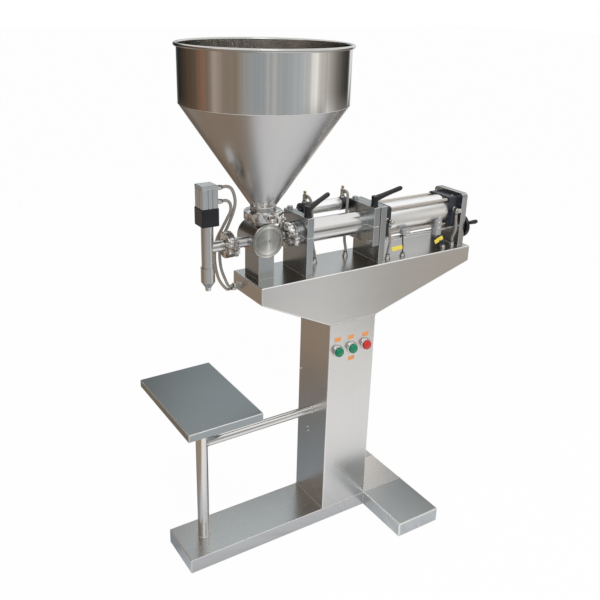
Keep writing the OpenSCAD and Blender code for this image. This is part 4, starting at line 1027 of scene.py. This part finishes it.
turned_piece("grip_piece", [
    (0, 0), (3, 0), (3, 7), (4.4, 7.2), (5.2, 10), (6.1, 17), (6.5, 26), (6.2, 33), (5, 37), (2.6, 38.8),
    (0, 39)], left_end("wheel_grip"), (1, 0, 0), black, "black_plastic", "grip", ["wheel_grip"], sides=40)
eased("sensor_carriage", 0.8 * mm, grey, "carriage")
eased("front_sensor", 0.8 * mm, grey)
lights = plastic("indicator", (0.78, 0.78, 0.74), (0.88, 0.88, 0.84), 0.25)
sensor_low = corners("front_sensor")[0]
for name, body, x, y, heights in (
        ("carriage_windows", "carriage", centre("sensor_carriage").x, corners("sensor_carriage")[0].y,
         (881, 898)),
        ("sensor_window", "frame", sensor_low.x + 17, sensor_low.y, (886,))):
    window = Form()
    for z in heights:
        window.turned([(0, -0.4), (2.4, -0.4), (2.4, 0.4), (1.8, 0.8), (0, 0.9)], (x, y, z), (0, -1, 0),
                      sides=24)
    show(window.done(name), lights, body)
yellow = plastic("yellow_tag", (0.80, 0.62, 0.05), (0.90, 0.72, 0.10), 0.45)
flags = Form()
for flag in (((141, -52, 843), (154, -51.4, 842.6), (168, -50.8, 842.8), (184, -50.2, 843.6)),
             ((304, -52.6, 838), (314, -52.2, 842), (324, -52.4, 846.4), (333, -53, 850))):
    flags.bent(flag, (6, 6.2, 6.2, 6), (0, 0.2, 1), 0.09, sides=4)
show(flags.done("cable_flags"), yellow)

# Shut-off nozzle: a small square air cylinder with sensor grooves, on a black adapter, lifts the stem
# in the polished tube off its seat in the tip.
alu = steel("actuator_alu", (0.74, 0.76, 0.77), (400, 400, 6), 0.3)
jack_low, jack_high = corners("nozzle_actuator")
jack_x = (jack_low.x + jack_high.x) / 2
half = (jack_high.x - jack_low.x) / 2
corner_cut = 3
groove_out = 6
groove_w = 1.3
groove_in = 2.6
side_walk = [(-half + corner_cut, 0)]
for middle in (-groove_out, groove_out):
    side_walk += [(middle - groove_w, 0), (middle - groove_w, groove_in), (middle + groove_w, groove_in),
                  (middle + groove_w, 0)]
side_walk.append((half - corner_cut, 0))
outline = []
for quarter in range(4):
    bearing = math.pi / 2 * quarter
    for along, inward in side_walk:
        out = inward - half
        outline.append((jack_x + along * math.cos(bearing) - out * math.sin(bearing),
                        along * math.sin(bearing) + out * math.cos(bearing)))
head_foot = jack_high.z - 9
head_top = jack_high.z - 0.4
joint_gap = 0.6
joint_inset = 0.8
overlap = 0.2
jack = Form()
jack.skin([[(x, y, z) for x, y in outline] for z in (jack_low.z, head_foot - joint_gap)])
jack.block((jack_low.x + joint_inset, jack_low.y + joint_inset, head_foot - joint_gap - overlap),
           (jack_high.x - joint_inset, jack_high.y - joint_inset, head_foot + overlap))
show(jack.done("actuator_profile", 0.5 * mm, 25), alu, stands_for=["nozzle_actuator"])
head = Form()
head.block((jack_low.x, jack_low.y, head_foot), (jack_high.x, jack_high.y, head_top))
show(head.done("actuator_head", 2.4 * mm), alu)
head_screw_out = (-15, 15)
head_screw_sink = 2
head_screw_r = 2.8
screws("head_screws", [(jack_x + x, y, head_top - head_screw_sink) for x in head_screw_out
                       for y in head_screw_out], (0, 0, 1), head_screw_r)
eased("nozzle_adapter", 2.2 * mm, black)
nozzle_shine = steel("nozzle_shine", (0.76, 0.75, 0.73), (12, 12, 900), 0.14, soft=0.05, scratch=0.00006)
for name in ("nozzle_tube", "nozzle_tip"):
    dress(name, nozzle_shine)
dress("nozzle_stem", turned_steel)

# Push-in air fittings: plated hexagon bodies with a dark release ring that grips the hose. The cylinders
# have elbows with a flow screw each: of brass on the small one, and under a plated knob on the drive one.
plated = steel("plated_brass", (0.72, 0.70, 0.66), (200, 200, 200), 0.18)
brass = steel("brass", (0.66, 0.52, 0.28), (400, 400, 400), 0.25)
ring_plastic = plastic("release_ring", (0.05, 0.06, 0.08), (0.09, 0.10, 0.13), 0.4)
fitting_bodies = Form()
release_rings = Form()
flow_screws = Form()
hexagon = [(7.2, 0), (8, 0.9), (8, 4.2), (7.2, 5)]
arm = 14


def straight_fitting(foot, axis, length):
    """A fitting whose hose leaves it length above its foot."""
    fitting_bodies.turned(hexagon, foot, axis, sides=6)
    fitting_bodies.turned([(6, 4.5), (6.4, 5.4), (6.4, length - 4), (5.8, length - 3)], foot, axis, sides=32)
    release_rings.turned([(4.6, length - 4), (5.6, length - 2.4), (5.6, length - 0.8), (4.8, length),
                          (3.6, length)], foot, axis, sides=32)


def angle_fitting(foot, axis, length, outward):
    """An elbow: its arm stands length above its foot and points outward."""
    fitting_bodies.turned(hexagon, foot, axis, sides=6)
    fitting_bodies.turned([(5.4, 4.5), (6, 5.4), (6, length + 4.6), (5.2, length + 5.5)], foot, axis,
                          sides=32)
    bend = Vector(foot) + Vector(axis) * length
    fitting_bodies.turned([(5.5, 0), (5.5, arm - 3.4), (5.0, arm - 2.8)], bend, outward, sides=32)
    release_rings.turned([(4.5, arm - 3), (5.2, arm - 2), (5.2, arm - 0.6), (4.6, arm)], bend, outward,
                         sides=32)


for name in ("front_valve_hose", "rear_valve_hose", "front_drive_hose", "rear_drive_hose"):
    x, y, z = hose_routes[name][-1]
    straight_fitting((x, y, deck_z), (0, 0, 1), fitting_h)
for route in cable_routes.values():
    x, y, z = route[-1]
    straight_fitting((x, y, deck_z), (0, 0, 1), gland_h)
for name in ("upper_nozzle_hose", "lower_nozzle_hose"):
    x, y, z = hose_routes[name][-1]
    straight_fitting((beam_end, y, z), (-1, 0, 0), fitting_h)
    x, y, z = hose_routes[name][0]
    straight_fitting((x - nozzle_fitting_h, y, z), (1, 0, 0), nozzle_fitting_h)
drive_elbow_h = 14
valve_elbow_h = 20
for name in ("front_drive_hose", "rear_drive_hose"):
    x, y, z = hose_routes[name][0]
    foot = (x, y + drive_elbow_h, z + arm)
    angle_fitting(foot, (0, -1, 0), drive_elbow_h, (0, 0, -1))
    fitting_bodies.turned([(5, 19), (5, 20), (6.6, 20.5), (6.6, 27), (5.8, 28), (3, 28), (2.6, 30),
                           (0, 30)], foot, (0, -1, 0), sides=24)
for name in ("front_valve_hose", "rear_valve_hose"):
    x, y, z = hose_routes[name][0]
    foot = (x, y + arm, z - valve_elbow_h)
    angle_fitting(foot, (0, 0, 1), valve_elbow_h, (0, -1, 0))
    flow_screws.turned([(2.6, 25), (2.6, 28), (4.2, 28.4), (4.2, 33), (3.6, 33.6), (0, 33.6)], foot,
                       (0, 0, 1), sides=20)
show(fitting_bodies.done("fitting_bodies"), plated, stands_for=["air_fittings"])
show(release_rings.done("release_rings"), ring_plastic)
show(flow_screws.done("flow_screws"), brass)
bpy.data.objects.remove(cap_screw)
